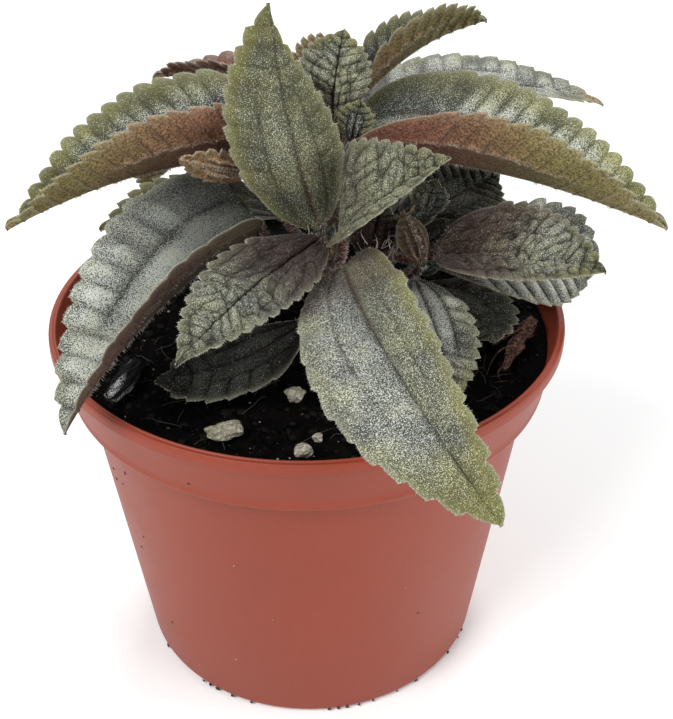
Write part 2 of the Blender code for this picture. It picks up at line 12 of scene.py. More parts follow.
import bmesh
import bpy
import numpy as np
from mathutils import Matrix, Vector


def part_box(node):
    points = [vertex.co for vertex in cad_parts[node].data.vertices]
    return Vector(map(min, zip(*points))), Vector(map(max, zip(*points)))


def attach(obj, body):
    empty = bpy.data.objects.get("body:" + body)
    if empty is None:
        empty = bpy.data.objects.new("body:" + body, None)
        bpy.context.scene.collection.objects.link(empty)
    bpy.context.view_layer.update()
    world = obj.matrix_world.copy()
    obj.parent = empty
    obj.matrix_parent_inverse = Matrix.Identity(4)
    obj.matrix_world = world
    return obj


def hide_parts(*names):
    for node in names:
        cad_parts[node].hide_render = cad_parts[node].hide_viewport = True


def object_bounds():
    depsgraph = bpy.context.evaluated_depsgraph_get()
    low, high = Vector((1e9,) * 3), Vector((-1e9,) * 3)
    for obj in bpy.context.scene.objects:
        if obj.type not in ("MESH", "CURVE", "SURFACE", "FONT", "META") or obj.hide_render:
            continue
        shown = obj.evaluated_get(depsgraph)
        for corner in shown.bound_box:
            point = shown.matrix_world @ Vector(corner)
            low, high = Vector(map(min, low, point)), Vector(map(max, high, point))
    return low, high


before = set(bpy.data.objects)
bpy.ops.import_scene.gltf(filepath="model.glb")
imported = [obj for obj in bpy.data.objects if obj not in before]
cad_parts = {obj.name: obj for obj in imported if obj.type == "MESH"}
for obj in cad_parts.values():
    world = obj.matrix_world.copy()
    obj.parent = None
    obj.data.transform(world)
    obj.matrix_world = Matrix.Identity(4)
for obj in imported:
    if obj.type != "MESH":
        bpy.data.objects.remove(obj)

MM = 0.001
BODY = "root"
CAD_BOX = [list(corner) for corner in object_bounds()]
BOX_MM = np.array(CAD_BOX) / MM
print("CAD box in mm:", [[round(value / MM, 1) for value in corner] for corner in CAD_BOX])

# %% [markdown]
# ## Camera
# The photographer stood over the pot and looked down at about 34 degrees. A camera could be
# aimed by a constraint, but a plain place and two angles say the same and stay readable.
# The lens is set so that the long side of a 673 by 719 picture covers 36 mm of sensor.

# %% Camera
CAMERA_PLACE = (0, -243.6 * MM, 240.4 * MM)
CAMERA_PAN = 1.6
CAMERA_PITCH = 33.97
CAMERA_LENS = 60.63
SENSOR_SIZE = 36
NEAREST_SEEN = 10 * MM


def new_object(name, data):
    """An object in the scene that holds a mesh, a lamp or a camera."""
    made = bpy.data.objects.new(name, data)
    bpy.context.scene.collection.objects.link(made)
    return made


camera = new_object("camera", bpy.data.cameras.new("camera"))
camera.location = CAMERA_PLACE
camera.rotation_euler = (math.radians(90 - CAMERA_PITCH), 0, -math.radians(CAMERA_PAN))
camera.data.lens = CAMERA_LENS
camera.data.sensor_width = SENSOR_SIZE
camera.data.clip_start = NEAREST_SEEN
bpy.context.scene.camera = camera
bpy.context.scene.view_settings.view_transform = "Standard"
print("camera looks down", CAMERA_PITCH, "degrees from", CAMERA_PLACE)

# %% [markdown]
# ## Small tools
# Every surface here is worked out as arrays, in millimetres. A few helpers keep the later
# cells short: one scales vectors, one eases a value from 0 to 1, one makes smooth noise, and
# one turns points and faces into a finished piece, in metres, that rides on the one body.

# %% Array helpers
TINY = 1e-12
NOISE_GRID = 128


def unit(vectors):
    """The vectors scaled to length one, along the last axis."""
    return vectors / np.maximum(np.linalg.norm(vectors, axis=-1, keepdims=True), TINY)


def ease(value, low, high):
    """0 below low and 1 above high, with an S curve 3t^2 - 2t^3 between them."""
    t = np.clip((value - low) / (high - low), 0, 1)
    return t * t * (3 - 2 * t)


def ridge(distance, width):
    """A rounded line: 1 on it, and exp(-(distance / width)^2) beside it."""
    return np.exp(-(distance / width) ** 2)


def between(grid, row, column, down, right):
    """Values of a grid, blended between four neighbours. It repeats beyond its edges."""
    row, below = row % grid.shape[0], (row + 1) % grid.shape[0]
    column, beside = column % grid.shape[1], (column + 1) % grid.shape[1]
    near = grid[row, column] * (1 - right) + grid[row, beside] * right
    far = grid[below, column] * (1 - right) + grid[below, beside] * right
    return near * (1 - down) + far * down


def value_noise(x, y, cell, seed):
    """Smooth noise from -1 to 1: random heights on square cells, blended by an S curve."""
    heights = np.random.default_rng(seed).uniform(-1, 1, (NOISE_GRID, NOISE_GRID))
    column, row = np.floor(x / cell).astype(int), np.floor(y / cell).astype(int)
    return between(heights, column, row, ease(x / cell - column, 0, 1), ease(y / cell - row, 0, 1))


def new_mesh(name, shape):
    """A mesh from a shape: its points in millimetres, and its groups of faces."""
    points, faces = shape
    mesh = bpy.data.meshes.new(name)
    mesh.from_pydata((points * MM).tolist(), [], [face for group in faces for face in group.tolist()])
    return mesh


def add_piece(name, shape, material, stands_for=(), slot=None, **attributes):
    """A finished piece from a shape, kept inside the solids' box, with its own attributes."""
    points, faces = shape
    mesh = new_mesh(name, (np.clip(points, *BOX_MM), faces))
    mesh.shade_smooth()
    mesh.materials.append(material)
    for title, values in attributes.items():
        layer = mesh.attributes.new(title, "FLOAT", "POINT")
        layer.data.foreach_set("value", np.asarray(values, np.float32).ravel())
    piece = new_object(name, mesh)
    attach(piece, BODY)
    if stands_for:
        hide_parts(*stands_for)
    print(f"{name}: {len(mesh.loops) - 2 * len(mesh.polygons)} triangles")
    return piece


# %% [markdown]
# ## Faces of grids
# Each surface is a grid of points. Its faces follow from the numbers of its rows and
# columns alone, so a few helpers serve every piece: a closed sheet for blades, closed rings
# with a point at both ends for tubes and turned shapes, and many small shapes as one.

# %% Faces


def grid_faces(numbers):
    """Quads of a grid of vertex numbers."""
    return np.stack([numbers[:-1, :-1], numbers[1:, :-1], numbers[1:, 1:], numbers[:-1, 1:]],
                    axis=-1).reshape(-1, 4)


def sheet_faces(rows, columns):
    """Faces of a closed sheet: an upper grid, a lower one turned over, and the edge."""
    top = np.arange(rows * columns).reshape(rows, columns)
    under = top + rows * columns
    edge = np.concatenate([top[:, 0], top[-1, 1:], top[-2::-1, -1], top[0, -2:0:-1]])
    edge = np.append(edge, edge[0])
    rim = np.stack([edge, edge + rows * columns], axis=1)
    return grid_faces(top), grid_faces(under)[:, ::-1], grid_faces(rim)[:, ::-1]


def ring_faces(rings, sides):
    """Quads between closed rings of points, and triangles to one point beyond each end."""
    numbers = np.arange(rings * sides).reshape(rings, sides)
    numbers = np.concatenate([numbers, numbers[:, :1]], axis=1)
    first = np.full(sides, rings * sides)
    start = np.stack([first, numbers[0, :-1], numbers[0, 1:]], axis=-1)
    finish = np.stack([first + 1, numbers[-1, 1:], numbers[-1, :-1]], axis=-1)
    return grid_faces(numbers), start, finish


def copies(points, faces):
    """Many small shapes as one, from the points of each and the faces of the first."""
    shift = points.shape[1] * np.arange(len(points))[:, None, None]
    return points.reshape(-1, 3), [(np.array(faces) + shift).reshape(-1, 3)]


def gathered(shapes):
    """Several (points, faces) shapes as one, with the face numbers shifted."""
    faces, count = [], 0
    for points, groups in shapes:
        faces += [group + count for group in groups]
        count += len(points)
    return np.concatenate([points for points, _ in shapes]), faces


# %% [markdown]
# ## Curves and rows
# The leaves bend in smooth arcs. A quadratic curve needs only three points, which a maker
# can read off the plant: base, middle and tip of the midrib. The rows repeat those of the
# solids, so each fine leaf grows exactly where its solid is.

# %% Curve through three points
CURVE_STEPS = 101


def bend(t, start, control, end):
    """A quadratic curve: (1-t)^2 start + 2t(1-t) control + t^2 end."""
    return (1 - t) ** 2 * start + 2 * t * (1 - t) * control + t ** 2 * end


class Arc:
    """A quadratic curve from start to end that passes middle halfway."""

    def __init__(self, start, middle, end):
        """Work out the control point, and the share of the length at each step."""
        self.start = np.array(start, float)
        self.end = np.array(end, float)
        self.control = 2 * np.array(middle, float) - (self.start + self.end) / 2
        self.steps = np.linspace(0, 1, CURVE_STEPS)
        spans = np.linalg.norm(np.diff(self.points(self.steps), axis=0), axis=1)
        self.length = spans.sum()
        self.shares = np.concatenate([[0], np.cumsum(spans)]) / self.length

    def points(self, t):
        """Points at steps from 0 to 1."""
        return bend(np.asarray(t)[..., None], self.start, self.control, self.end)

    def tangents(self, t):
        """Directions at steps: (1-t)(control - start) + t(end - control), scaled to one."""
        t = np.asarray(t)[..., None]
        return unit((1 - t) * (self.control - self.start) + t * (self.end - self.control))

    def step_at(self, share):
        """The curve's own step at a share of its length."""
        return np.interp(share, self.shares, self.steps)

    def at_height(self, height):
        """The point of a rising curve at a height."""
        points = self.points(self.steps)
        return self.points(np.interp(height, points[:, 2], self.steps))


# %% Stems and leaves, in millimetres and degrees
# rib holds the base, middle and tip of the midrib, foot is the height on the stem where the
# petiole starts, and face is the way that the upper side looks. A pair holds a value for the
# half on the left of the midrib, seen from above with the tip ahead, and one for the right,
# and a single number serves both.
# silver, olive, purple and red say how much of each colour shows, as the finish cell tells.
STEMS = {
    "stem_front": dict(axis=((2, -3, 76), (3, -7, 98), (4, -12, 113)), radius=1.6),
    "stem_back": dict(axis=((4, 8, 76), (6, 9, 108), (7, 10, 129)), radius=1.8),
    "stem_side": dict(axis=((14, 3, 76), (17, 1, 98), (19, 0, 111)), radius=1.5),
}
LEAVES = {
    "leaf_front_upright": dict(stem="stem_front", foot=111,
        rib=((3, -9, 117), (-3, -6, 138), (-7, -2, 164)), face=(0.15, -1, 0.3), width=(13, 10),
        fold=(8, -12), widest=(0.36, 0.24), taper=(0.95, 1.6), early_teeth=0.35, pucker=0.2, teeth=9,
        tone="silver"),
    "leaf_front_right": dict(stem="stem_front", foot=110,
        rib=((7.5, -14, 117.3), (14, -21, 128), (29, -22, 139)), face=(-0.4, -0.9, 1), width=(16, 8),
        fold=(-6, 50), widest=(0.13, 0.24), taper=(1, 1.1), teeth=8, pucker=0.9, tone="young"),
    "leaf_front_left": dict(stem="stem_front", foot=110,
        rib=((3, -15, 117), (-11, -38, 118.5), (-24, -62, 117)), face=(0.2, -0.3, 1), width=(8, 9),
        fold=(10, 6), widest=(0.32, 0.36), teeth=11, pucker=0.9, tone="young"),
    "leaf_over_front_rim": dict(stem="stem_front", foot=107,
        rib=((8, -18, 112), (16, -52, 110), (34, -82, 95)), face=(0.1, -0.3, 1), width=(10.5, 16.5),
        fold=(57, 2), curl=(-24, 0), widest=(0.22, 0.42), taper=(0.66, 1.05), early_teeth=0.35, pucker=0.25,
        teeth=10, tone="silver"),
    "leaf_over_left_rim": dict(stem="stem_front", foot=104,
        rib=((-10, -5, 115), (-32, -31, 108.8), (-48, -54, 96)), face=(-0.2, -0.2, 1), width=(16, 20),
        fold=(55, 50), widest=(0.34, 0.14), taper=(1, 0.9), unfold=(-6, 25), early_teeth=0.6, teeth=10,
        tone="silver"),
    "leaf_low_dark": dict(stem="stem_front", foot=92, rib=((-1, -17, 98), (-16, -27, 94), (-33, -30, 91)),
        face=(0, -0.1, 1), width=10, fold=0, teeth=7, tone="dark"),
    "leaf_back_right": dict(stem="stem_back", foot=121, rib=((10, 8, 127), (44, 0, 125), (79, -10, 116)),
        face=(0, -0.05, 1), width=(21, 20), fold=(52, 42), curl=(-15, 35), widest=(0.2, 0.3), taper=1,
        teeth=14, tone="silver"),
    "leaf_back_left": dict(stem="stem_back", foot=121, rib=((3, 7, 127), (-32, 0, 127), (-64, -12, 119)),
        face=(0, -0.05, 1), width=20, fold=(42, 52), curl=(35, -15), widest=(0.3, 0.24), taper=(1, 1.2),
        teeth=14, tone="silver"),
    "leaf_rear_right_high": dict(stem="stem_back", foot=117,
        rib=((12, 17, 129), (43, 36, 131), (76, 46, 122)), face=(0, -0.1, 1), width=(13.5, 15), fold=12,
        widest=0.3, teeth=12, tone="silver"),
    "leaf_rear_left_high": dict(stem="stem_back", foot=117,
        rib=((2, 19, 131), (-16, 32, 135), (-37, 42, 132)), face=(0, 0, 1), width=(11, 13), fold=(38, 10),
        widest=(0.28, 0.3), teeth=9, tone="red"),
    "leaf_top_right": dict(stem="stem_back", foot=125, rib=((11, 13, 137), (26, 17, 148), (41, 22, 152)),
        face=(0, 0, 1), width=(10, 11), fold=(26, 48), curl=(0, 12), widest=(0.28, 0.42), taper=(1.1, 1.2),
        teeth=10, tone="green"),
    "leaf_top_left": dict(stem="stem_back", foot=124, rib=((6, 15, 131), (7, 20, 140), (10, 25, 147)),
        face=(0, 1, 0.4), width=9.5, fold=10, teeth=9, tone="red"),
    "leaf_top_young": dict(stem="stem_back", foot=127, rib=((6, 8, 132), (7, 10, 144), (9, 14, 153)),
        face=(-0.2, -1, 0.4), width=(7.5, 7), fold=10, teeth=9, pucker=0.7, tone="young"),
    "leaf_top_bud": dict(stem="stem_back", foot=123, rib=((10, 4, 131), (11, 4, 136), (12, 4, 141)),
        face=(0, -1, 0.6), width=3.5, fold=10, early_teeth=0.3, teeth=5, pucker=0.3, tone="green"),
    "leaf_rear_middle": dict(stem="stem_back", foot=108, rib=((8, 20, 116), (8, 44, 116), (14, 66, 96)),
        face=(0, 0.2, 1), width=16, fold=15, teeth=10, tone="silver"),
    "leaf_rear_left_low": dict(stem="stem_back", foot=108,
        rib=((-3, 20, 116), (-25, 40, 113), (-43, 55, 95)), face=(-0.1, 0.1, 1), width=14, fold=15,
        teeth=10, tone="silver"),
    "leaf_left_under": dict(stem="stem_back", foot=103, rib=((-5, 10, 110), (-27, 12, 112), (-48, 8, 108)),
        face=(0, -0.1, 1), width=11, fold=8, teeth=10, tone="green"),
    "leaf_left_small": dict(stem="stem_back", foot=113,
        rib=((-9, -4, 128), (-17.5, -8.5, 131), (-25.5, -17, 137)), face=(0, 1, 0), width=3.2, fold=5,
        teeth=5, pucker=0.3, tone="red"),
    "leaf_side_broad": dict(stem="stem_side", foot=105, rib=((29, -6, 108), (47, -12, 110), (64, -20, 111)),
        face=(0, 0, 1), width=14, fold=(30, 10), widest=(0.24, 0.28), taper=(1, 0.9), teeth=11, pucker=0.9,
        tone="young"),
    "leaf_side_under": dict(stem="stem_side", foot=98, rib=((27, 3, 101), (48, 4, 101), (68, 1, 100)),
        face=(0, -0.1, 1), width=(15.5, 18), fold=(27, 3), widest=(0.55, 0.5), taper=(0.8, 1), teeth=9,
        tone="silver"),
    "leaf_side_narrow": dict(stem="stem_side", foot=96, rib=((24, -8, 103), (28, -24, 98), (30, -40, 91)),
        face=(0.1, -0.2, 1), width=8, fold=10, widest=0.35, teeth=9, tone="silver"),
    "leaf_side_low": dict(stem="stem_side", foot=91, rib=((24, -3, 97), (36, -6, 94), (42, -16, 90.5)),
        face=(0, -0.1, 1), width=10, fold=0, teeth=7, tone="dark"),
    "leaf_side_rear": dict(stem="stem_side", foot=102, rib=((26, 9, 109), (39, 19, 112), (47, 23, 114)),
        face=(-0.3, -0.6, 1), width=10, fold=5, teeth=9, tone="dark"),
    "leaf_side_bud": dict(stem="stem_side", foot=107, rib=((26, 4, 111), (28, 6, 115), (30, 8, 120)),
        face=(-0.3, -1, 0.6), width=4, fold=20, teeth=5, pucker=0.3, tone="dark"),
    "leaf_side_folded": dict(stem="stem_side", foot=99,
        rib=((25.5, -8.5, 107), (24.5, -9, 112.5), (21, -5, 119)), face=(-0.6, 0.8, 0.3), width=4,
        fold=(15, 20), teeth=7, tone="red"),
    "leaf_side_middle": dict(stem="stem_side", foot=101,
        rib=((14, -4.5, 106), (15, -5, 113), (16.5, -3, 120.5)), face=(0, -1, 0.4), width=(6, 4.8), fold=10,
        teeth=7, tone="dark"),
    "leaf_rear_right_low": dict(stem="stem_side", foot=98, rib=((22, 13, 104), (33, 35, 106), (40, 56, 96)),
        face=(0.1, 0.1, 1), width=13, fold=15, teeth=10, tone="silver"),
}
LEAF_DEFAULTS = dict(curl=0, widest=0.42, taper=1.1, unfold=0, pucker=0.5, first_tooth=0.16,
                     tooth_depth=1.4, early_teeth=0.7, small=False)
print(len(LEAVES), "leaves on", len(STEMS), "stems")

# %% [markdown]
# ## How a leaf's colours are set
# Each leaf is a mix of a few looks, whose amounts change over the blade: a frosting of silver
# over dark green, olive at the margin and the tip, purple at the base of young leaves, and
# below it red-brown near the base. Leaves of one age look alike, so the amounts come from
# the leaf's tone, and the leaves that differ have their own. The dark tone also carries
# painted shade, for leaves deep among the others. Painted shade darkens a face as a whole,
# at its base, or in the hollows between its swellings.

# %% Amounts of each colour
# shade, under_shade, base_shade and the hollow value darken the colours as painted shade.
USUAL_TONE = dict(under_above=0, tip_red=0, olive_base=0, shade=1, hollow_shade=0.4, patchy=0.5, purple_reach=0.5,
                  under_shade=1, base_shade=0.15, base_reach=0.5, red_reach=0.7, serrate=0.4, withered=0,
                  quilt=0, purple=0)
TONES = {
    "silver": dict(silver=0.6, olive=0.5, tip_olive=0.8, red=0.9),
    "green": dict(silver=0.3, olive=0.9, tip_olive=0.9, red=0.4, serrate=0.6),
    "young": dict(silver=0.34, olive=0.4, tip_olive=0.6, purple=0.9, red=1, quilt=1, olive_base=0.1,
        hollow_shade=0.7, base_shade=0.5, serrate=0.2),
    # The dark tone is for leaves deep among the others: its shade of 0.6 is painted shade.
    "dark": dict(silver=0.25, olive=0.1, tip_olive=0.1, purple=0.2, red=0.8, shade=0.6),
    "red": dict(silver=0.2, olive=0.3, tip_olive=0.4, purple=0.5, red=1, under_above=1, tip_red=0.7),
}
OWN_TONES = {
    "leaf_front_upright": dict(silver=(0.35, 0.31), olive=(0.95, 0.7), olive_base=(0.4, 0.5), hollow_shade=0.15,
        patchy=0.3, base_shade=0.35),
    "leaf_over_front_rim": dict(silver=(0.42, 0.48), olive=(0.85, 0.3), tip_olive=1, olive_base=(0.3, 0),
        hollow_shade=0.05, patchy=0, purple=0.4, purple_reach=0.25),
    "leaf_back_left": dict(silver=(0.5, 0.53), olive=(0.8, 0.9), tip_olive=0.9, red_reach=0.95,
        serrate=(1, 0.2), pucker=0.48),
    "leaf_back_right": dict(under_shade=0.95, silver=(0.74, 0.73), olive=0.8, tip_olive=0.9,
        serrate=(0.2, 0.9), pucker=0.4),
    "leaf_over_left_rim": dict(silver=(0.9, 0.92), olive=(0.1, 0.05), tip_olive=0.1, red=0.4, tip_red=1.8,
        patchy=0.3, under_shade=0.31, base_shade=0.75, base_reach=0.52, pucker=0.42),
    "leaf_rear_right_high": dict(silver=0.66, olive=0.3, tip_olive=0.4, serrate=0.9, tooth_depth=1.1,
        pucker=0.28, withered=0.9, tip_red=0.35),
    "leaf_top_young": dict(purple=0.2, silver=0.62, olive_base=0.35, base_shade=0.2, hollow_shade=0.6),
    "leaf_front_right": dict(purple=0.2, silver=0.5, olive_base=0.4, base_shade=0.2),
    "leaf_front_left": dict(silver=0.5, purple_reach=0.65, olive=0.2, hollow_shade=0.85, olive_base=0.2,
        tip_olive=0.3, base_shade=0.62, base_reach=0.75),
    "leaf_side_broad": dict(silver=0.62, purple_reach=0.65, olive_base=0.3, hollow_shade=0.85, base_shade=0.35),
    "leaf_side_under": dict(silver=0.86, olive=0.05, tip_olive=0.1),
    "leaf_side_narrow": dict(silver=0.84, olive=0.3),
    "leaf_side_folded": dict(shade=0.26, red=0.8, serrate=0, tip_red=0.35, pucker=0.06, tooth_depth=0.1),
    "leaf_side_middle": dict(shade=0.35, purple=1, purple_reach=1.2, silver=0.2),
    "leaf_low_dark": dict(shade=0.19, silver=0.55),
    "leaf_top_right": dict(shade=0.8, under_shade=0.84),
    "leaf_left_small": dict(red=0.6),
    "leaf_top_left": dict(tip_red=0.3, shade=0.72),
    "leaf_rear_left_high": dict(shade=0.58, tip_red=0.8),
    "leaf_left_under": dict(silver=0.1, olive=1),
}


def leaf_row(name):
    """A leaf's whole row: its own values over those of its tone and the defaults."""
    row = LEAVES[name]
    tone = {**LEAF_DEFAULTS, **USUAL_TONE, **TONES[row["tone"]]}
    return {**tone, **row, **OWN_TONES.get(name, {}),
            "arc": Arc(*row["rib"]), "seed": list(LEAVES).index(name)}


# %% [markdown]
# ## The blade as a formula
# A leaf could be sculpted, but its form follows rules that a formula keeps for all 27: a
# folded sheet along an arc, an outline q^p (1-q)^r, side veins that sweep forward, and a
# tooth at the end of each swelling. The solids use the same formula with few steps.
# Here a tooth is a blend of a full round lobe and a saw tooth with a small forward point.

# %% Outline, teeth and frame of a blade
TIP_HALF_WIDTH = 0.2
VEIN_SWEEP = 0.75
TOOTH_CREST = 0.8
TOOTH_ROUNDNESS = 0.62
TOOTH_POINT = 0.3
TOOTH_POINT_WIDTH = 0.06
LOBE_SKEW = 1.4
LOBE_FULLNESS = 0.55
TOOTH_LEAN = 0.5
TOOTH_FADE_WIDTH = 4
SMALL_ANGLE = 0.001


def tooth_phase(leaf, q):
    """How many teeth lie below a share q of the leaf's length, as a real number."""
    first = leaf["first_tooth"]
    return np.clip((q - first) / (1 - first), 0, 1) * leaf["teeth"]


def tooth_shape(phase, serrate):
    """A tooth's reach from 0 to 1: a full lobe, or a rise to a point and a short steep fall."""
    part = phase % 1
    rise = (part / TOOTH_CREST) ** TOOTH_ROUNDNESS
    point = TOOTH_POINT * ridge(part - TOOTH_CREST, TOOTH_POINT_WIDTH)
    pointed = np.where(part < TOOTH_CREST, rise, (1 - part) / (1 - TOOTH_CREST)) + point
    lobe = np.abs(np.sin(np.pi * part ** LOBE_SKEW)) ** LOBE_FULLNESS
    return serrate * pointed + (1 - serrate) * lobe


def pick(value, v):
    """A pair's first value where v is positive, on the left, and else its second."""
    left, right = np.broadcast_to(value, 2)
    return np.where(v >= 0, left, right)


def outline(leaf, q, v):
    """Half width of the blade at a share q of its length: q^p (1-q)^r, scaled to peak."""
    widest = pick(leaf["widest"], v)
    taper = pick(leaf["taper"], v)
    rise = taper * widest / (1 - widest)
    peak = widest ** rise * (1 - widest) ** taper
    return pick(leaf["width"], v) * q ** rise * (1 - q) ** taper / peak


def blade_frame(leaf, share):
    """Midrib point, left and up vectors at shares of the blade's length."""
    arc = leaf["arc"]
    step = arc.step_at(share)
    tangent = arc.tangents(step)
    left = unit(np.cross(leaf["face"], tangent))
    return arc.points(step), left, np.cross(tangent, left)


# %% [markdown]
# ## Veins and swellings
# Three ribs run from the base: the midrib and one lateral vein halfway out on each side.
# Side veins leave them and end at the notches. On a grown leaf the blade swells up between
# them outside the lateral veins, each swelling a little different. A young leaf is quilted
# all over with small blisters. They could be sculpted one by one, but the domes between
# scattered points have the same look, with creases that never repeat.

# %% Relief of a blade
LATERAL = 0.5
MIDRIB_WIDTH = 0.46
LATERAL_WIDTH = 0.34
SIDE_VEIN_WIDTH = 0.26
HUMP_RISE = 1.75
CUSHION_HEIGHT = 0.4
BLISTER_HEIGHT = 1.0
BLISTER_SIZE = 3.4
BLISTER_DRIFT = 0.9
BASE_NARROWING = 0.9
DRIFT_SIZE = 5
DRIFT_HEIGHT = 0.35
DOME_GRID = 64
DOME_REACH = 0.7
OTHER_HALF = 40


def domes(x, y, seed):
    """Domes with creases between them: the second least distance to a point minus the least.

    One point stands in each unit square, moved about in it by a seeded draw.
    """
    places = np.random.default_rng(seed).uniform(0.15, 0.85, (2, DOME_GRID, DOME_GRID))
    column, row = np.floor(x).astype(int), np.floor(y).astype(int)
    nearest, second = np.full((2, *x.shape), 9.0)
    for aside in (-1, 0, 1):
        for up in (-1, 0, 1):
            spot = (column + aside) % DOME_GRID, (row + up) % DOME_GRID
            distance = np.hypot(x - column - aside - places[0][spot], y - row - up - places[1][spot])
            second = np.minimum(second, np.maximum(nearest, distance))
            nearest = np.minimum(nearest, distance)
    return np.clip((second - nearest) / DOME_REACH, 0, 1)


def veins(leaf, q, v):
    """How much of the midrib, lateral and side veins lies at a point, each from 0 to 1."""
    phase, half, across = tooth_phase(leaf, q), outline(leaf, q, v), np.abs(v)
    pitch = leaf["arc"].length * (1 - leaf["first_tooth"]) / leaf["teeth"]
    middle = ridge(across * half, MIDRIB_WIDTH * (1.2 - q))
    lateral = ridge((across - LATERAL) * half, LATERAL_WIDTH) * (1 - ease(q, 0.5, 0.7))
    beside = np.abs(phase - np.round(phase)) * pitch
    outside = np.maximum(ease(across, LATERAL - 0.05, LATERAL + 0.05), ease(q, 0.5, 0.62))
    side = ridge(beside, SIDE_VEIN_WIDTH) * (phase > 0.5) * (1 - across ** 12)
    return middle, lateral * (half > 3 * LATERAL_WIDTH), side * np.maximum(outside, leaf["quilt"])


def blisters(leaf, q, v):
    """Height in millimetres of the small blisters that quilt a young leaf."""
    half, across = outline(leaf, q, v), np.abs(v)
    narrow = 1 + BASE_NARROWING * (1 - ease(q, 0.1, 0.45))
    along = q * narrow * leaf["arc"].length / BLISTER_SIZE + pick((0, OTHER_HALF), v)
    over = across * half / BLISTER_SIZE
    push = BLISTER_DRIFT * value_noise(along, over, 1.5, leaf["seed"] + 50)
    tops = domes(along + push, over + push, leaf["seed"])
    fade = (1 - 0.4 * ease(q, 0.5, 1.0)) * (1 - across ** 8) * ease(across * half, 0, 0.5)
    return BLISTER_HEIGHT * tops ** 0.7 * fade


def swelling(leaf, q, v):
    """Height of the blade's swellings in millimetres.

    Grown: one hump for each tooth outside the lateral vein, a long cushion inside it, and
    a slow drift over both. Young: a lower hump for each tooth, and domes on top of it.
    """
    across, quilt, far = np.abs(v), leaf["quilt"], pick((0, OTHER_HALF), v)
    along, over = q * leaf["arc"].length + far, across * outline(leaf, q, v) + far
    slow = value_noise(along, over, DRIFT_SIZE, leaf["seed"])
    outer = np.maximum(ease(across, 0.42, 0.62), ease(q, 0.5, 0.75))
    hump = HUMP_RISE * leaf["pucker"] * np.abs(np.sin(np.pi * tooth_phase(leaf, q))) * (1 + 0.8 * slow)
    hump = hump * (outer * (1 - quilt) + 0.3 * quilt) * (1 - 0.6 * across ** 4)
    cushion = np.sin(np.pi * np.clip(across / LATERAL, 0, 1)) * (1 - ease(q, 0.45, 0.7))
    drift = DRIFT_HEIGHT * slow * ease(across, 0, 0.2)
    grown = (CUSHION_HEIGHT * cushion + drift) * ease(q, 0, 0.2)
    return hump * ease(across, 0, 0.16) + (1 - quilt) * grown + quilt * blisters(leaf, q, v)


# %% [markdown]
# ## Blade and petiole as one skin
# The middle surface is laid out first. Its two faces stand off it along the normals, so the
# blade has real thickness, thins towards its margin, and has a round petiole and rib in
# the same skin. Separate tubes for the ribs would show seams. Veins are grooves in the
# upper face and ridges on the lower one.

# %% Leaf surfaces
BLADE_THICKNESS = 0.55
MARGIN_THICKNESS = 0.25
PETIOLE_RADIUS = 0.9
CLEARANCE = 0.3
PETIOLE_ROWS = 12
BASE_STEPS = (0.004, 0.03, 0.08, 0.15, 0.25, 0.38, 0.52, 0.68, 0.85)
TOOTH_STEPS = (0, 0.05, 0.12, 0.22, 0.34, 0.46, 0.58, 0.68, 0.76, 0.81, 0.87, 0.94)
HALF_COLUMNS = (0, 0.03, 0.08, 0.14, 0.22, 0.31, 0.39, 0.45, 0.5, 0.55, 0.61, 0.68, 0.76, 0.83,
                0.89, 0.94, 0.975, 1)


def blade_surface(leaf, q, v):
    """Middle surface of the blade, in millimetres.

    q runs along the midrib and v across it, from -1 at the right margin to 1 at the left.
    A point lies a distance d from the midrib, on a cross curve that leaves it at the fold
    angle and turns up by the curl angle over the half's width. Cross curves sweep forward
    as side veins do. A tooth reaches out from the margin and leans to the tip.
    """
    phase = tooth_phase(leaf, q)
    half = outline(leaf, q, v)
    serrate = pick(leaf["serrate"], v)
    tooth = np.where((phase > 0) & (phase < leaf["teeth"]), tooth_shape(phase, serrate), 0)
    fade = np.clip(half / TOOTH_FADE_WIDTH, 0, 1)
    growth = leaf["early_teeth"] + (1 - leaf["early_teeth"]) * q
    tooth = tooth * leaf["tooth_depth"] * growth * fade * np.abs(v) ** 8
    inner = np.abs(v) * np.maximum(half, TIP_HALF_WIDTH)
    lean = TOOTH_LEAN * (0.6 + 0.4 * serrate + 0.6 * serrate * (phase % 1 > TOOTH_CREST - 0.1))
    sweep = VEIN_SWEEP * inner * (1 - q) ** 0.5 * q ** 0.3 + lean * tooth
    distance = inner + tooth
    middle, left, up = blade_frame(leaf, np.clip(q + sweep / leaf["arc"].length, 0, 1))
    fold = np.radians(pick(leaf["fold"], v) - pick(leaf["unfold"], v) * q ** 2)
    curl = np.radians(pick(leaf["curl"], v))
    curl = np.where(np.abs(curl) < SMALL_ANGLE, SMALL_ANGLE, curl)
    width = pick(leaf["width"], v)
    turn = curl * distance / width
    aside = width * (np.sin(fold + turn) - np.sin(fold)) / curl
    rise = width * (np.cos(fold) - np.cos(fold + turn)) / curl + swelling(leaf, q, v)
    return middle + (pick((1, -1), v) * aside)[..., None] * left + rise[..., None] * up


def petiole_surface(leaf, t, v):
    """Middle surface of the petiole: from the stem outwards, then up to the blade."""
    stem = STEMS[leaf["stem"]]
    centre = Arc(*stem["axis"]).at_height(leaf["foot"])
    base = leaf["arc"].start
    outward = unit((base - centre) * (1, 1, 0))
    foot = centre + outward * (stem["radius"] + CLEARANCE)
    elbow = foot + outward * 0.5 * np.linalg.norm(base - foot)
    _, left, _ = blade_frame(leaf, np.zeros_like(t))
    t = t[..., None]
    tangent = unit((1 - t) * (elbow - foot) + t * (base - elbow))
    left = unit(left - (left * tangent).sum(axis=-1, keepdims=True) * tangent)
    return bend(t, foot, elbow, base) + (v * PETIOLE_RADIUS)[..., None] * left


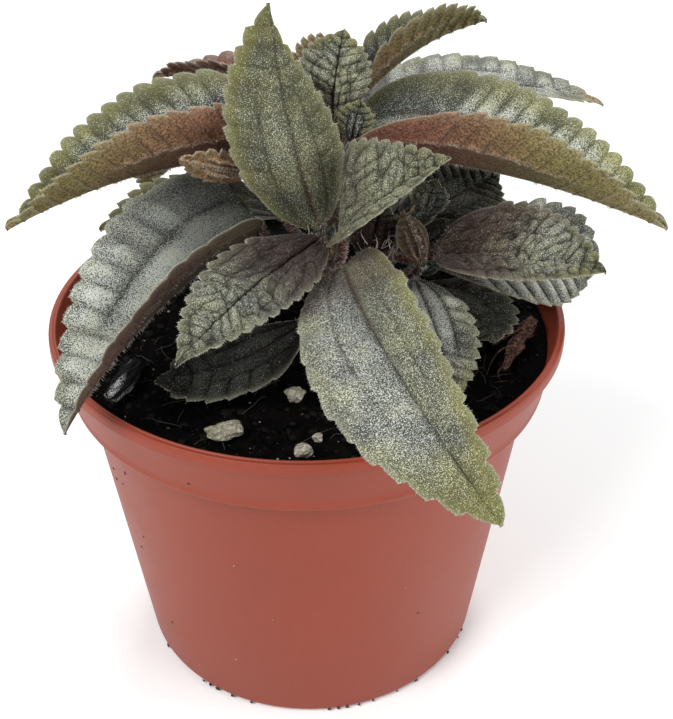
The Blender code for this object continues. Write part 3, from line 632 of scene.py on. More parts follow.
def leaf_steps(leaf):
    """Shares of the length for the rows, and places across the blade for the columns.

    A quilted leaf has one more column between each two. A scale or leaflet takes every
    second row and column, because it is only a few millimetres long.
    """
    first = leaf["first_tooth"]
    teeth = (np.arange(leaf["teeth"])[:, None] + np.array(TOOTH_STEPS)) / leaf["teeth"]
    rows = np.concatenate([first * np.array(BASE_STEPS), (first + (1 - first) * teeth).ravel(), [1]])
    half = np.array(HALF_COLUMNS, float)
    if leaf["quilt"] > 0.5:
        half = np.sort(np.concatenate([half, (half[:-1] + half[1:]) / 2]))
    if leaf["small"]:
        half = np.append(half[:-1:2], 1)
        rows = np.append(rows[:-1:2], 1)
    return rows, np.concatenate([-half[:0:-1], half])


def leaf_skin(leaf):
    """Grids of a leaf's upper and lower face in millimetres, with its normals, its veins and the painted
    shade of its creases.
    """
    rows, columns = leaf_steps(leaf)
    q, v = np.meshgrid(rows, columns, indexing="ij")
    t, w = np.meshgrid(np.linspace(0, 1, PETIOLE_ROWS, endpoint=False), columns, indexing="ij")
    middle = np.concatenate([petiole_surface(leaf, t, w), blade_surface(leaf, q, v)])
    normal = unit(np.cross(np.gradient(middle, axis=0), np.gradient(middle, axis=1)))
    midrib, lateral, side = veins(leaf, q, v)
    thin = BLADE_THICKNESS - (BLADE_THICKNESS - MARGIN_THICKNESS) * np.abs(v) ** 4
    rib = PETIOLE_RADIUS * (1 - q) ** 1.3
    round_rib = np.sqrt(np.clip(rib ** 2 - (v * outline(leaf, q, v)) ** 2, 0, None))
    stalk = np.maximum(MARGIN_THICKNESS / 2, PETIOLE_RADIUS * np.sqrt(1 - w ** 2))
    groove = 0.45 * midrib * (1 - q) + 0.22 * lateral + 0.1 * side
    above = thin / 2 - groove * ease(q, 0, 0.06) + (1 - ease(q, 0, 0.05)) * round_rib
    below = np.maximum(thin / 2, round_rib) + 0.4 * lateral + 0.2 * side
    # Creases between a young leaf's blisters are painted dark with the veins: painted shade in the creases.
    crease = 1 - ease(blisters(leaf, q, v), 0, 0.3 * BLISTER_HEIGHT)
    crease = np.maximum(0.5 * side, crease * (1 - np.abs(v) ** 8))
    on_top = np.maximum(midrib * (1 - 0.5 * q), 0.45 * lateral)
    on_top = np.maximum(on_top, 0.1 * side + 0.8 * leaf["quilt"] * crease)
    return dict(
        upper=middle + normal * np.concatenate([stalk, above])[..., None],
        lower=middle - normal * np.concatenate([stalk, below])[..., None],
        normal=normal, petiole=PETIOLE_ROWS, q=q, v=v, vein_and_crease_shade=on_top,
        back_vein=np.maximum(0.6 * midrib, np.maximum(lateral, 0.25 * side)),
        side_vein=side * (1 - lateral))


# %% [markdown]
# ## Where each colour lies on a leaf
# A picture could be painted for every leaf, but the colours follow the same lines as the
# form: silver on the crests, dark green in the valleys, olive towards margin and tip. Each
# amount is kept as a number on every vertex, and the material reads it as an attribute.

# %% Colour amounts on a leaf's vertices


def leaf_amounts(leaf, skin):
    """Amounts of each colour on a leaf's vertices, from 0 to 1, first above and then below.

    silver, olive, purple and red are colours, vein the dark lines above, with painted shade in
    the creases, and pale ribs below. The light amount, how much light a place gets, is painted
    shade. under says which face it is, and edge the pale margin, partly a painted highlight.
    """
    q, v, across, shade = skin["q"], skin["v"], np.abs(skin["v"]), leaf["shade"]
    if leaf["quilt"] > 0.5:
        crest = np.clip(blisters(leaf, q, v) / (0.8 * BLISTER_HEIGHT), 0, 1)
    else:
        crest = np.clip(swelling(leaf, q, v) / (0.8 * HUMP_RISE * leaf["pucker"] + 0.2), 0, 1)
    most_silver = pick(leaf["silver"], v)
    inside = (1 - ease(across, 0.35, 0.5)) * (1 - ease(q, 0.45, 0.7)) * (1 - leaf["quilt"])
    purple = leaf["purple"] * (1 - ease(q, 0.15, leaf["purple_reach"]))
    silver = most_silver * (1 - leaf["patchy"] * (1 - crest)) * (1 - 0.8 * skin["vein_and_crease_shade"])
    silver = silver * (1 - 0.3 * ease(q, 0.6, 1.0)) * (1 - 0.25 * ease(across, 0.75, 1.0))
    silver = (silver + 0.6 * leaf["patchy"] * most_silver * inside) * (1 - 0.75 * purple)
    olive = pick(leaf["olive"], v) * ease(across, 0.5, 1.0) + leaf["tip_olive"] * ease(q, 0.6, 1.0)
    olive = np.maximum(olive, pick(leaf["olive_base"], v))
    red = leaf["red"] * (1 - (1 - leaf["tip_red"]) * ease(q + 0.15 * across, 0.2, leaf["red_reach"]))
    # Painted shade on the upper face: darker in the hollows between swellings and towards the base.
    painted_shade = 1 - leaf["hollow_shade"] * (1 - crest) ** 3 * (1 - ease(across, 0.8, 1.0)) * (1 - 0.5 * inside)
    painted_shade = painted_shade * (1 - leaf["base_shade"] * (1 - ease(q, 0.1, leaf["base_reach"])))
    # Painted shade on the lower face: darker between the midrib and the lateral veins near the base, and
    # beside the side veins.
    painted_light = 1 - 0.35 * (1 - ease(across, LATERAL - 0.1, LATERAL)) * (1 - ease(q, 0.5, 0.7))
    painted_light = painted_light * (1 - 0.5 * skin["side_vein"])
    # Each title: the amount on the petiole, and those on the blade's two faces
    amounts = dict(
        silver=(0.1, silver, silver),
        olive=(0.2, olive, olive),
        purple=(1, purple, purple),
        red=(1, red, red),
        vein=(0, skin["vein_and_crease_shade"], skin["back_vein"]),
        # The light amount is painted shade: the leaf's shade on both faces, and 0.4 of it on the petiole.
        painted_light=(0.4 * shade, shade * painted_shade, shade * leaf["under_shade"] * painted_light),
        under=(0.9, leaf["under_above"] + leaf["withered"] * ease(q, 0.86, 0.95), 1 + 0 * q),
        # The pale margin line is partly a painted highlight.
        edge=(0, across ** 24, across ** 24))
    petiole = np.ones((skin["petiole"], len(v[0])))
    return {title: np.clip(np.concatenate([stalk * petiole, above, stalk * petiole, below]), 0, 1)
            for title, (stalk, above, below) in amounts.items()}


# %% [markdown]
# ## Writing nodes shortly
# Materials are graphs of nodes. A few helpers let a graph read like a formula: they add a
# node and fill its sockets, mix two colours, tint a colour where a mask is light, do sums,
# and join the result to the shader.

# %% Node helpers


def fill(tree, socket, value):
    """Link a socket if the value is one, and else set its number, or its colour from RGB."""
    if isinstance(value, bpy.types.NodeSocket):
        tree.links.new(value, socket)
    elif isinstance(value, tuple):
        socket.default_value = (*value, 1)
    else:
        socket.default_value = value


def node(tree, kind, inputs=None, **settings):
    """Add a shader node with its settings and inputs."""
    made = tree.nodes.new("ShaderNode" + kind)
    for title, value in settings.items():
        setattr(made, title, value)
    for title, value in (inputs or {}).items():
        fill(tree, made.inputs[title], value)
    return made


def mix(tree, factor, first, second, blend="MIX"):
    """A colour between two colours."""
    made = node(tree, "Mix", data_type="RGBA", blend_type=blend)
    for socket, value in ((0, factor), (6, first), (7, second)):
        fill(tree, made.inputs[socket], value)
    return made.outputs[2]


def sums(tree, operation, first, second=0.0, third=0.0, clamp=False):
    """A number worked out from up to three numbers."""
    made = node(tree, "Math", operation=operation, use_clamp=clamp)
    for socket, value in zip(made.inputs, (first, second, third)):
        fill(tree, socket, value)
    return made.outputs[0]


def times(tree, first, second):
    """The product of two numbers."""
    return sums(tree, "MULTIPLY", first, second)


def scaled(tree, value, factor, offset, clamp=False):
    """value * factor + offset."""
    return sums(tree, "MULTIPLY_ADD", value, factor, offset, clamp)


def tinted(tree, colour, mask, share, tint):
    """A colour with a tint over it, as far as a share of the mask."""
    return mix(tree, times(tree, mask, share), colour, tint)


def attribute(tree, title):
    """The number kept on the vertices under a title."""
    return node(tree, "Attribute", attribute_name=title).outputs["Fac"]


def new_group(title, numbers, outputs):
    """An empty node group with number sockets, and the point's place on the piece in metres."""
    group = bpy.data.node_groups.new(title, "ShaderNodeTree")
    for name, value in numbers.items():
        socket = group.interface.new_socket(name, in_out="INPUT", socket_type="NodeSocketFloat")
        socket.default_value = value
    for name in outputs:
        group.interface.new_socket(name, in_out="OUTPUT", socket_type="NodeSocketFloat")
    start = group.nodes.new("NodeGroupInput").outputs
    end = group.nodes.new("NodeGroupOutput").inputs
    return group, start, end, node(group, "TexCoord").outputs["Object"]


def use_group(tree, group, *numbers):
    """Place a group in a material with its own values, in the order of its sockets."""
    made = node(tree, "Group", node_tree=group)
    for socket, value in zip(made.inputs, numbers):
        fill(tree, socket, value)
    return made.outputs


def new_material(title, **shader_values):
    """A material whose Principled shader has its constants set on its own sockets."""
    material = bpy.data.materials.new(title)
    material.use_nodes = True
    shader = material.node_tree.nodes["Principled BSDF"]
    for name, value in shader_values.items():
        shader.inputs[name.replace("_", " ")].default_value = value
    return material, material.node_tree, shader


def dress(tree, shader, colour, rough=None, height=None, depth=0.0):
    """Join a colour, a roughness and a relief, a depth in millimetres, to the shader."""
    fill(tree, shader.inputs["Base Color"], colour)
    if rough is not None:
        fill(tree, shader.inputs["Roughness"], rough)
    if height is not None:
        relief = node(tree, "Bump", {"Height": height, "Strength": 1.0, "Distance": depth * MM})
        fill(tree, shader.inputs["Normal"], relief.outputs["Normal"])


# %% [markdown]
# ## Effects that several finishes share
# Stipple is the salt-and-pepper frosting: grains a fifth of a millimetre wide, as many as
# Cover asks for. Mottle is a soft drift of light and dark. Specks are a few small dots.
# Net is a web of thin lines, as the finest veins make. All are noises on the object's own
# coordinates, because a picture would blur at this scale.

# %% Shared node groups
LEAF_GRAINS = 4700.0
SPECK_EDGE = 30.0


def stipple_group():
    """Mask = clamp((fine noise + clumps + Cover - 1) * Contrast + 1/2)."""
    group, start, end, place = new_group(
        "stipple", {"Grains per metre": LEAF_GRAINS, "Cover": 0.5, "Contrast": 6.0}, ("Mask", "Height"))
    fine = node(group, "TexNoise", {"Vector": place, "Scale": start["Grains per metre"],
                                    "Detail": 1.0, "Roughness": 0.6}).outputs["Fac"]
    clump_scale = times(group, start["Grains per metre"], 0.25)
    clump = node(group, "TexNoise", {"Vector": place, "Scale": clump_scale, "Detail": 1.0})
    level = sums(group, "ADD", fine, scaled(group, clump.outputs["Fac"], 0.08, -0.04))
    level = sums(group, "ADD", level, scaled(group, start["Cover"], 0.42, -0.71))
    fill(group, end["Mask"], scaled(group, level, start["Contrast"], 0.5, clamp=True))
    fill(group, end["Height"], fine)
    return group


def mottle_group():
    """Factor = noise stretched to run from 0 to 1."""
    group, start, end, place = new_group("mottle", {"Scale": 80.0, "Contrast": 2.0}, ("Factor",))
    noise = node(group, "TexNoise", {"Vector": place, "Scale": start["Scale"], "Detail": 3.0})
    level = sums(group, "SUBTRACT", noise.outputs["Fac"], 0.5)
    fill(group, end["Factor"], scaled(group, level, start["Contrast"], 0.5, clamp=True))
    return group


def specks_group():
    """Mask = 1 within Size of a cell's point, in the Share of the cells that have a speck."""
    group, start, end, place = new_group(
        "specks", {"Cells per metre": 200.0, "Size": 0.2, "Share": 0.2}, ("Mask",))
    cells = node(group, "TexVoronoi", {"Vector": place, "Scale": start["Cells per metre"]})
    red = node(group, "SeparateColor", {"Color": cells.outputs["Color"]}).outputs["Red"]
    size = times(group, start["Size"], sums(group, "LESS_THAN", red, start["Share"]))
    near = sums(group, "SUBTRACT", size, cells.outputs["Distance"])
    fill(group, end["Mask"], sums(group, "MULTIPLY", near, SPECK_EDGE, clamp=True))
    return group


def net_group():
    """Mask = 1 on the borders between cells, over a line of the given Width."""
    group, start, end, place = new_group("net", {"Cells per metre": 700.0, "Width": 0.06}, ("Mask",))
    cells = node(group, "TexVoronoi", {"Vector": place, "Scale": start["Cells per metre"]},
                 feature="DISTANCE_TO_EDGE")
    share = sums(group, "DIVIDE", cells.outputs["Distance"], start["Width"])
    fill(group, end["Mask"], sums(group, "SUBTRACT", 1.0, share, clamp=True))
    return group


STIPPLE = stipple_group()
MOTTLE = mottle_group()
SPECKS = specks_group()
NET = net_group()
print("shared effects:", [group.name for group in (STIPPLE, MOTTLE, SPECKS, NET)])


def mottled(tree, scale, contrast):
    """A soft drift from 0 to 1."""
    return use_group(tree, MOTTLE, scale, contrast)["Factor"]


def specked(tree, cells, size, share):
    """A mask of small dots, with so many cells a metre."""
    return use_group(tree, SPECKS, cells, size, share)["Mask"]


# %% [markdown]
# ## Leaf finish
# The upper face is built in layers, as the eye sees it: dark green, olive over it, purple
# over that, veins that are dark or, near the base, dark red, with the creases of young
# leaves painted dark as shade, and a frosting of silver grains on top. The lower face runs
# from red-brown to olive, with paler ribs, a fine net and small patches. Painted shade then
# darkens both faces, and a pale line, partly a painted highlight, runs along the margin.
# One function makes the finish for every tone, because the amounts already lie on the
# vertices.

# %% Leaf material
DARK_GREEN = (0.034, 0.036, 0.027)
OLIVE = (0.105, 0.100, 0.030)
PURPLE = (0.058, 0.024, 0.020)
SILVER = (0.62, 0.645, 0.58)
PALE_OLIVE = (0.43, 0.425, 0.215)
VEIN_DARK = (0.022, 0.017, 0.014)
VEIN_RED = (0.078, 0.026, 0.019)
UNDER_RED = (0.252, 0.093, 0.071)
UNDER_OLIVE = (0.232, 0.200, 0.074)
UNDER_RIB = (0.42, 0.29, 0.20)
UNDER_DARK_PATCH = (0.42, 0.40, 0.38)
UNDER_LIGHT_PATCH = (1.4, 1.38, 1.36)
# A pale line along the margin, partly a painted highlight.
PALE_MARGIN_AND_HIGHLIGHT = (0.46, 0.46, 0.34)
BLACK = (0, 0, 0)
FROST_SHARE = 0.76


def leaf_material(title, contrast=7.0, frost=1.0, gloss=0.2):
    """The finish of the leaves of one tone."""
    material, tree, shader = new_material(
        title, Roughness=0.6, Specular_IOR_Level=gloss, Sheen_Weight=0.3 * gloss, Sheen_Roughness=0.5)
    silver, olive, purple, red, vein, painted_light, under_share, edge = (
        attribute(tree, amount)
        for amount in ("silver", "olive", "purple", "red", "vein", "painted_light", "under", "edge"))
    drift = mottled(tree, 170.0, 2.6)
    cover = sums(tree, "ADD", scaled(tree, drift, 0.14, -0.07), times(tree, silver, FROST_SHARE))
    olive = sums(tree, "ADD", olive, scaled(tree, drift, 0.5, -0.25), clamp=True)
    grains = use_group(tree, STIPPLE, LEAF_GRAINS, cover, contrast)
    top = mix(tree, purple, mix(tree, olive, DARK_GREEN, OLIVE), PURPLE)
    vein_colour = mix(tree, sums(tree, "POWER", red, 3.0), VEIN_DARK, VEIN_RED)
    top = tinted(tree, top, vein, 0.95, vein_colour)
    top = tinted(tree, top, grains["Mask"], frost * 0.9, mix(tree, olive, SILVER, PALE_OLIVE))
    under = mix(tree, red, UNDER_OLIVE, UNDER_RED)
    under = tinted(tree, under, use_group(tree, NET)["Mask"], 0.25, UNDER_RIB)
    under = tinted(tree, under, vein, 0.65, UNDER_RIB)
    patches = mix(tree, mottled(tree, 2100.0, 4.5), UNDER_DARK_PATCH, UNDER_LIGHT_PATCH)
    # Painted shade: the light amount darkens the lower face with its patches, and the upper face.
    under = mix(tree, 1.0, under, mix(tree, painted_light, BLACK, patches), blend="MULTIPLY")
    colour = mix(tree, under_share, mix(tree, painted_light, BLACK, top), under)
    # A pale line on the margin, partly a painted highlight.
    colour = tinted(tree, colour, edge, 0.27, PALE_MARGIN_AND_HIGHLIGHT)
    dress(tree, shader, colour, scaled(tree, grains["Mask"], 0.25, 0.5), grains["Height"], 0.12)
    return material


LEAF_FINISHES = {
    "silver": leaf_material("leaf_silver"),
    "green": leaf_material("leaf_green"),
    "young": leaf_material("leaf_young", contrast=4.5, frost=0.8, gloss=0.15),
    # Leaves in painted shade: a copy of the finish with little specular and sheen, so the shade stays dark.
    "dark": leaf_material("leaf_dark", contrast=5.0, frost=0.8, gloss=0.05),
    "red": leaf_material("leaf_red", frost=0.7),
}

# %% Grow the leaves


def skin_shape(skin):
    """The points and faces of a blade, from the grids of its two faces."""
    upper, lower = skin["upper"], skin["lower"]
    points = np.concatenate([upper.reshape(-1, 3), lower.reshape(-1, 3)])
    return points, sheet_faces(*upper.shape[:2])


SKINS = {}
for name in LEAVES:
    leaf = leaf_row(name)
    SKINS[name] = leaf_skin(leaf)
    add_piece(name + "_fine", skin_shape(SKINS[name]), LEAF_FINISHES[leaf["tone"]],
              stands_for=[name], slot="leaf_" + leaf["tone"], **leaf_amounts(leaf, SKINS[name]))

# %% [markdown]
# ## Pot
# A nursery pot is one thin moulding of plastic: a tapered body, a wider collar that grips
# the next pot of a stack, and a lip with a bead on each side. It is turned from a profile,
# whose corners are rounded by short curves. Smooth rounding matters, because the soft line
# of light on the lip is what makes it look moulded.

# %% Turned surfaces


def circle(sides):
    """The cosine and the sine at equal steps round a circle."""
    angle = 2 * np.pi * np.arange(sides) / sides
    return np.cos(angle), np.sin(angle)


def rounded(corners, steps=5):
    """A profile of (radius, height, cut) corners, each replaced by a quadratic curve.

    The curve starts and ends the cut's length before and after the corner. A cut of 0
    keeps the corner itself.
    """
    corners = np.array(corners, float)
    points = [corners[:1, :2]]
    for before, corner, after in zip(corners[:-2], corners[1:-1], corners[2:]):
        here, cut = corner[:2], corner[2]
        if cut == 0:
            points.append(here[None])
            continue
        start = here + unit(before[:2] - here) * cut
        end = here + unit(after[:2] - here) * cut
        points.append(bend(np.linspace(0, 1, steps)[:, None], start, here, end))
    points.append(corners[-1:, :2])
    return np.concatenate(points)


def turned(profile, segments):
    """Points and faces of a profile turned about Z, whose two ends lie on the axis.

    The profile runs so that the outside is on its left as it is turned.
    """
    cosine, sine = circle(segments)
    radius, height = profile[1:-1, 0, None], profile[1:-1, 1, None]
    ring = np.stack([radius * cosine, radius * sine, height + 0 * sine], axis=-1)
    ends = np.array([[0, 0, profile[0, 1]], [0, 0, profile[-1, 1]]])
    return np.concatenate([ring.reshape(-1, 3), ends]), ring_faces(len(radius), segments)


# %% Pot body
POT_HEIGHT = 92
RIM_RADIUS = 60
MOUTH_RADIUS = 58.2
COLLAR_FOOT = 77
COLLAR_FOOT_RADIUS = 56.4
BODY_TOP_RADIUS = 53.1
BASE_RADIUS = 43.2
WALL = 1.6
FLOOR_THICKNESS = 2
LIP_HEIGHT = 3
POT_SEGMENTS = 192
DRAIN_HOLES = 8
DRAIN_RADIUS = 3.5
DRAIN_CIRCLE = 33
DRILL_SIDES = 48
DRILL_REACH = 5
SHARP_ANGLE = math.radians(50)

# The inside of the wall, as (radius, height) from the floor up
POT_INSIDE = (
    (BASE_RADIUS - WALL, FLOOR_THICKNESS),
    (BODY_TOP_RADIUS - WALL, COLLAR_FOOT - WALL),
    (COLLAR_FOOT_RADIUS - WALL, COLLAR_FOOT + WALL),
    (MOUTH_RADIUS, POT_HEIGHT),
)
# The outside, as (radius, height, cut) from the lip down
POT_OUTSIDE = (
    (RIM_RADIUS - 0.75, POT_HEIGHT - LIP_HEIGHT - 0.1, 0.25),
    (COLLAR_FOOT_RADIUS + 0.15, COLLAR_FOOT + 2.2, 1.0),
    (COLLAR_FOOT_RADIUS + 0.3, COLLAR_FOOT + 0.9, 0.5),
    (COLLAR_FOOT_RADIUS, COLLAR_FOOT, 0.4),
    (BODY_TOP_RADIUS + 0.1, COLLAR_FOOT - 0.3, 0.8),
    (BASE_RADIUS + 0.15, 1.2, 0.8),
)
# Corners from the middle of the floor up the inside, over the lip and down the outside
POT_PROFILE = (
    (0, FLOOR_THICKNESS, 0),
    *((*corner, 0.8) for corner in POT_INSIDE[:3]),
    (MOUTH_RADIUS, POT_HEIGHT - 0.2, 0.35),
    (MOUTH_RADIUS + 0.45, POT_HEIGHT, 0.18),
    (MOUTH_RADIUS + 0.75, POT_HEIGHT - 0.3, 0.15),
    (MOUTH_RADIUS + 1.05, POT_HEIGHT - 0.3, 0.15),
    (RIM_RADIUS - 0.25, POT_HEIGHT - 0.2, 0.25),
    (RIM_RADIUS, POT_HEIGHT - 1.0, 0.4),
    (RIM_RADIUS, POT_HEIGHT - LIP_HEIGHT, 0.35),
    *POT_OUTSIDE,
    (BASE_RADIUS - 1.2, 0, 0.4),
    (0, 0, 0),
)


def pot_material():
    """Terracotta-coloured plastic: mottled, with a faint haze, and dark and pale specks."""
    material, tree, shader = new_material("pot_plastic", Specular_IOR_Level=0.3)
    drift, haze = mottled(tree, 45.0, 1.6), mottled(tree, 900.0, 1.5)
    colour = mix(tree, drift, (0.212, 0.031, 0.0125), (0.240, 0.039, 0.017))
    colour = tinted(tree, colour, haze, 0.08, (0.40, 0.13, 0.09))
    colour = tinted(tree, colour, specked(tree, 130.0, 0.06, 0.16), 0.7, (0.05, 0.02, 0.015))
    colour = tinted(tree, colour, specked(tree, 90.0, 0.045, 0.1), 0.5, (0.62, 0.42, 0.36))
    dress(tree, shader, colour, scaled(tree, drift, 0.12, 0.42), haze, 0.02)
    return material


def drill_holes(piece):
    """Cut the drain holes through the floor with one Boolean, applied."""
    cosine, sine = circle(DRILL_SIDES)
    foot = np.arange(DRILL_SIDES)
    head = foot + DRILL_SIDES
    walls = np.stack([foot, np.roll(foot, -1), np.roll(head, -1), head], axis=-1)
    drills = []
    for x, y in DRAIN_CIRCLE * np.stack(circle(DRAIN_HOLES), axis=-1):
        rim = np.stack([x + DRAIN_RADIUS * cosine, y + DRAIN_RADIUS * sine, 0 * sine], axis=-1)
        points = np.concatenate([rim - (0, 0, DRILL_REACH), rim + (0, 0, DRILL_REACH)])
        drills.append((points, (walls, np.stack([foot[::-1], head]))))
    drill = new_object("drain_drills", new_mesh("drain_drills", gathered(drills)))
    cut = piece.modifiers.new("drain_holes", "BOOLEAN")
    cut.operation = "DIFFERENCE"
    cut.solver = "EXACT"
    cut.object = drill
    bpy.context.view_layer.update()
    evaluated = piece.evaluated_get(bpy.context.evaluated_depsgraph_get())
    piece.data = bpy.data.meshes.new_from_object(evaluated)
    piece.modifiers.clear()
    bpy.data.objects.remove(drill)
    piece.data.shade_smooth()
    piece.data.set_sharp_from_angle(angle=SHARP_ANGLE)


drill_holes(add_piece("pot_fine", turned(rounded(POT_PROFILE), POT_SEGMENTS), pot_material(),
                      stands_for=["pot"], slot="pot_plastic"))

# %% [markdown]
# ## Dirt on the pot
# A pot that has been handled carries crumbs of mix and specks of perlite. The larger ones
# are small flat stones, made by pulling the points of an icosahedron in and out. Each lies
# against the outside of the pot, at an angle round it and a height.

# %% Crumbs on the pot
CRUMB_SPOTS = ((-143, 67.5), (-147, 61.5), (-152, 63.1), (-152, 59.8), (-99, 90.5), (-116, 80.6),
               (-143, 46.9), (-147, 40.7), (-140, 17.9), (-35, 71.0), (-58, 30.5), (-20, 52.0))
PALE_SPOTS = ((-110, 53.6), (-64, 42.4), (-101, 36.5), (-114, 17.6), (-45, 60.0))
FOOT_ANGLES = (-151, -130, -127, -124, -118, -111, -85, -82, -79, -75, -70, -61, -53, -36, -28, -24)
FOOT_HEIGHT = 0.9
FOOT_SPOTS = [(angle, FOOT_HEIGHT) for angle in FOOT_ANGLES]
STUCK_FLATNESS = (0.5, 1, 1)


def icosahedron():
    """The twelve points and twenty faces of an icosahedron of radius one."""
    shape = bmesh.new()
    bmesh.ops.create_icosphere(shape, subdivisions=1, radius=1)
    points = np.array([vertex.co[:] for vertex in shape.verts])
    faces = np.array([[vertex.index for vertex in face.verts] for face in shape.faces])
    shape.free()
    return points, faces


STONE_POINTS, STONE_FACES = icosahedron()


def stuck_crumbs(spots, small, large, seed):
    """Flat crumbs on the pot's outside, at (angle in degrees, height in mm) spots."""
    draw = np.random.default_rng(seed)
    angle, height = np.array(spots, float).T
    angle = np.radians(angle)
    outward = np.stack([np.cos(angle), np.sin(angle), 0 * angle], axis=-1)[:, None]
    aside = np.stack([-np.sin(angle), np.cos(angle), 0 * angle], axis=-1)[:, None]
    outside = np.array(POT_OUTSIDE)[::-1]
    radius = np.interp(height, outside[:, 1], outside[:, 0])[:, None, None]
    size = draw.uniform(small, large, (len(spots), 1, 1))
    rough = draw.uniform(0.7, 1.2, (len(spots), len(STONE_POINTS), 1)) * size
    stretch = draw.uniform(0.6, 1.3, (len(spots), 1, 3)) * STUCK_FLATNESS
    out, over, up = np.moveaxis(STONE_POINTS * rough * stretch, -1, 0)[..., None]
    points = (radius + out) * outward + over * aside + (height[:, None, None] + up) * (0, 0, 1)
    return copies(points, STONE_FACES)


# %% [markdown]
# ## Potting mix
# The mix is black peat with bark crumbs. Its surface is the solid's low mound, with four
# sizes of noise added to it, so that light catches crumbs of every size. Loose crumbs,
# fibres and flecks of perlite dust then lie on it, placed by seeded draws.

# %% Ground and its surface
SOIL_EDGE = 86
SOIL_CROWN = 2
SOIL_SINK = 0.3
LUMP_HEIGHT = 0.7
LUMP_WAVES = (0.210, 0.260, 0.430)
NOISE_LAYERS = ((7.0, 1.0), (3.1, 0.7), (1.4, 0.45), (0.7, 0.22))
SOIL_SEGMENTS = 280
SOIL_RINGS = 84
SOIL_SIDE = np.array(POT_INSIDE) - (CLEARANCE, 0)
EDGE_RADIUS = np.interp(SOIL_EDGE, SOIL_SIDE[:, 1], SOIL_SIDE[:, 0])


def ground(x, y):
    """Height of the mix in millimetres: the mound and its lumps, and finer noise."""
    share = np.clip(np.hypot(x, y) / MOUTH_RADIUS, 0, 1)
    along, across, fine = LUMP_WAVES
    lumps = np.sin(along * x + 1.3) * np.sin(across * y + 0.4) + 0.6 * np.sin(fine * (x + y))
    height = SOIL_EDGE + SOIL_CROWN * (1 - share ** 2) + LUMP_HEIGHT * lumps * (1 - share ** 4)
    for seed, (cell, rise) in enumerate(NOISE_LAYERS):
        height = height + rise * value_noise(x, y, cell, seed) * (1 - share ** 8)
    return height - SOIL_SINK


def soil_shape():
    """The mix, turned from its side and a flat top, whose points are then raised."""
    foot, floor = SOIL_SIDE[0, 0], FLOOR_THICKNESS + CLEARANCE
    top = np.linspace((EDGE_RADIUS, SOIL_EDGE), (0, SOIL_EDGE), SOIL_RINGS)
    profile = np.concatenate([[(0, floor), (foot, floor)], SOIL_SIDE[1:3], top])
    points, faces = turned(profile, SOIL_SEGMENTS)
    raised = points[:, 2] > SOIL_EDGE - 0.01
    points[raised, 2] = ground(points[raised, 0], points[raised, 1])
    return points, faces


def soil_material():
    """Peat, almost black, with crumbs a shade lighter, small grey flecks that are partly painted glints,
    and a rough dull face.
    """
    material, tree, shader = new_material("potting_mix", Specular_IOR_Level=0.03)
    drift = mottled(tree, 500.0, 3.0)
    colour = mix(tree, drift, (0.0008, 0.0007, 0.0007), (0.0036, 0.0030, 0.0028))
    # Small grey flecks: paler grains, partly painted glints.
    colour = tinted(tree, colour, specked(tree, 900.0, 0.22, 0.05), 0.4, (0.05, 0.045, 0.04))
    dress(tree, shader, colour, scaled(tree, drift, 0.3, 0.65), drift, 0.3)
    return material


add_piece("soil_fine", soil_shape(), soil_material(), stands_for=["soil"], slot="potting_mix")

# %% [markdown]
# ## Things that lie on the mix
# Crumbs are the same rough stones, drawn for places all over the mix. Fibres are thin tubes
# along arcs. Hundreds are drawn, so each has only a few dozen faces.

# %% Crumbs, fibres and dust
TUBE_LEAN = (0.31, 0.17, 0.93)
CRUMB_FLATNESS = (1, 1, 0.6)


def rings(centres, ways, radii, sides, lean):
    """Rings of points square to their ways: centre + radius * (aside cos + other sin)."""
    aside = unit(np.cross(ways, lean))[:, None]
    other = np.cross(ways[:, None], aside)
    cosine, sine = circle(sides)
    return centres[:, None] + radii * (cosine[:, None] * aside + sine[:, None] * other)


def tube(points, radii, sides):
    """A closed tube along a path: rings square to it, and a point at each end."""
    along = unit(np.gradient(points, axis=0))
    ring = rings(points, along, radii[:, None, None], sides, TUBE_LEAN)
    ends = points[[0, -1]] + along[[0, -1]] * radii[[0, -1], None] * np.array([[-0.5], [0.5]])
    faces = [group[:, ::-1] for group in ring_faces(len(points), sides)]
    return np.concatenate([ring.reshape(-1, 3), ends]), faces


def crumbs(seed, count, small, large):
    """Rough lumps on the mix: a size for each, and every point pulled in or out."""
    draw = np.random.default_rng(seed)
    radius = (EDGE_RADIUS - 1.5) * np.sqrt(draw.uniform(0, 1, count))
    angle = draw.uniform(0, 2 * np.pi, count)
    x, y = radius * np.cos(angle), radius * np.sin(angle)
    size = small * (large / small) ** draw.uniform(0, 1, (count, 1, 1)) ** 1.6
    stretch = draw.uniform(0.6, 1.3, (count, 1, 3)) * CRUMB_FLATNESS
    rough = draw.uniform(0.7, 1.15, (count, len(STONE_POINTS), 1))
    centre = np.stack([x, y, ground(x, y)], axis=-1)[:, None]
    return copies(STONE_POINTS * rough * stretch * size + centre, STONE_FACES)


def fibres(seed, count, short, long, radius):
    """Thin bent threads that lie on the mix."""
    draw = np.random.default_rng(seed)
    shapes, t = [], np.linspace(-0.5, 0.5, 7)
    for _ in range(count):
        middle = draw.uniform(-1, 1, 2)
        middle = middle / max(1, np.hypot(*middle)) * (EDGE_RADIUS - 7)
        heading = draw.uniform(0, np.pi)
        length = draw.uniform(short, long)
        sag = draw.uniform(-0.5, 0.5) * length * (t ** 2 - 0.25)
        x = middle[0] + length * t * np.cos(heading) - sag * np.sin(heading)
        y = middle[1] + length * t * np.sin(heading) + sag * np.cos(heading)
        lift = 0.25 + draw.uniform(0, 0.5) * (1 - (2 * t) ** 2)
        z = np.maximum(ground(x, y), np.mean(ground(x, y))) + lift
        shapes.append(tube(np.stack([x, y, z], axis=-1), radius * (1.1 - np.abs(t)), 4))
    return gathered(shapes)


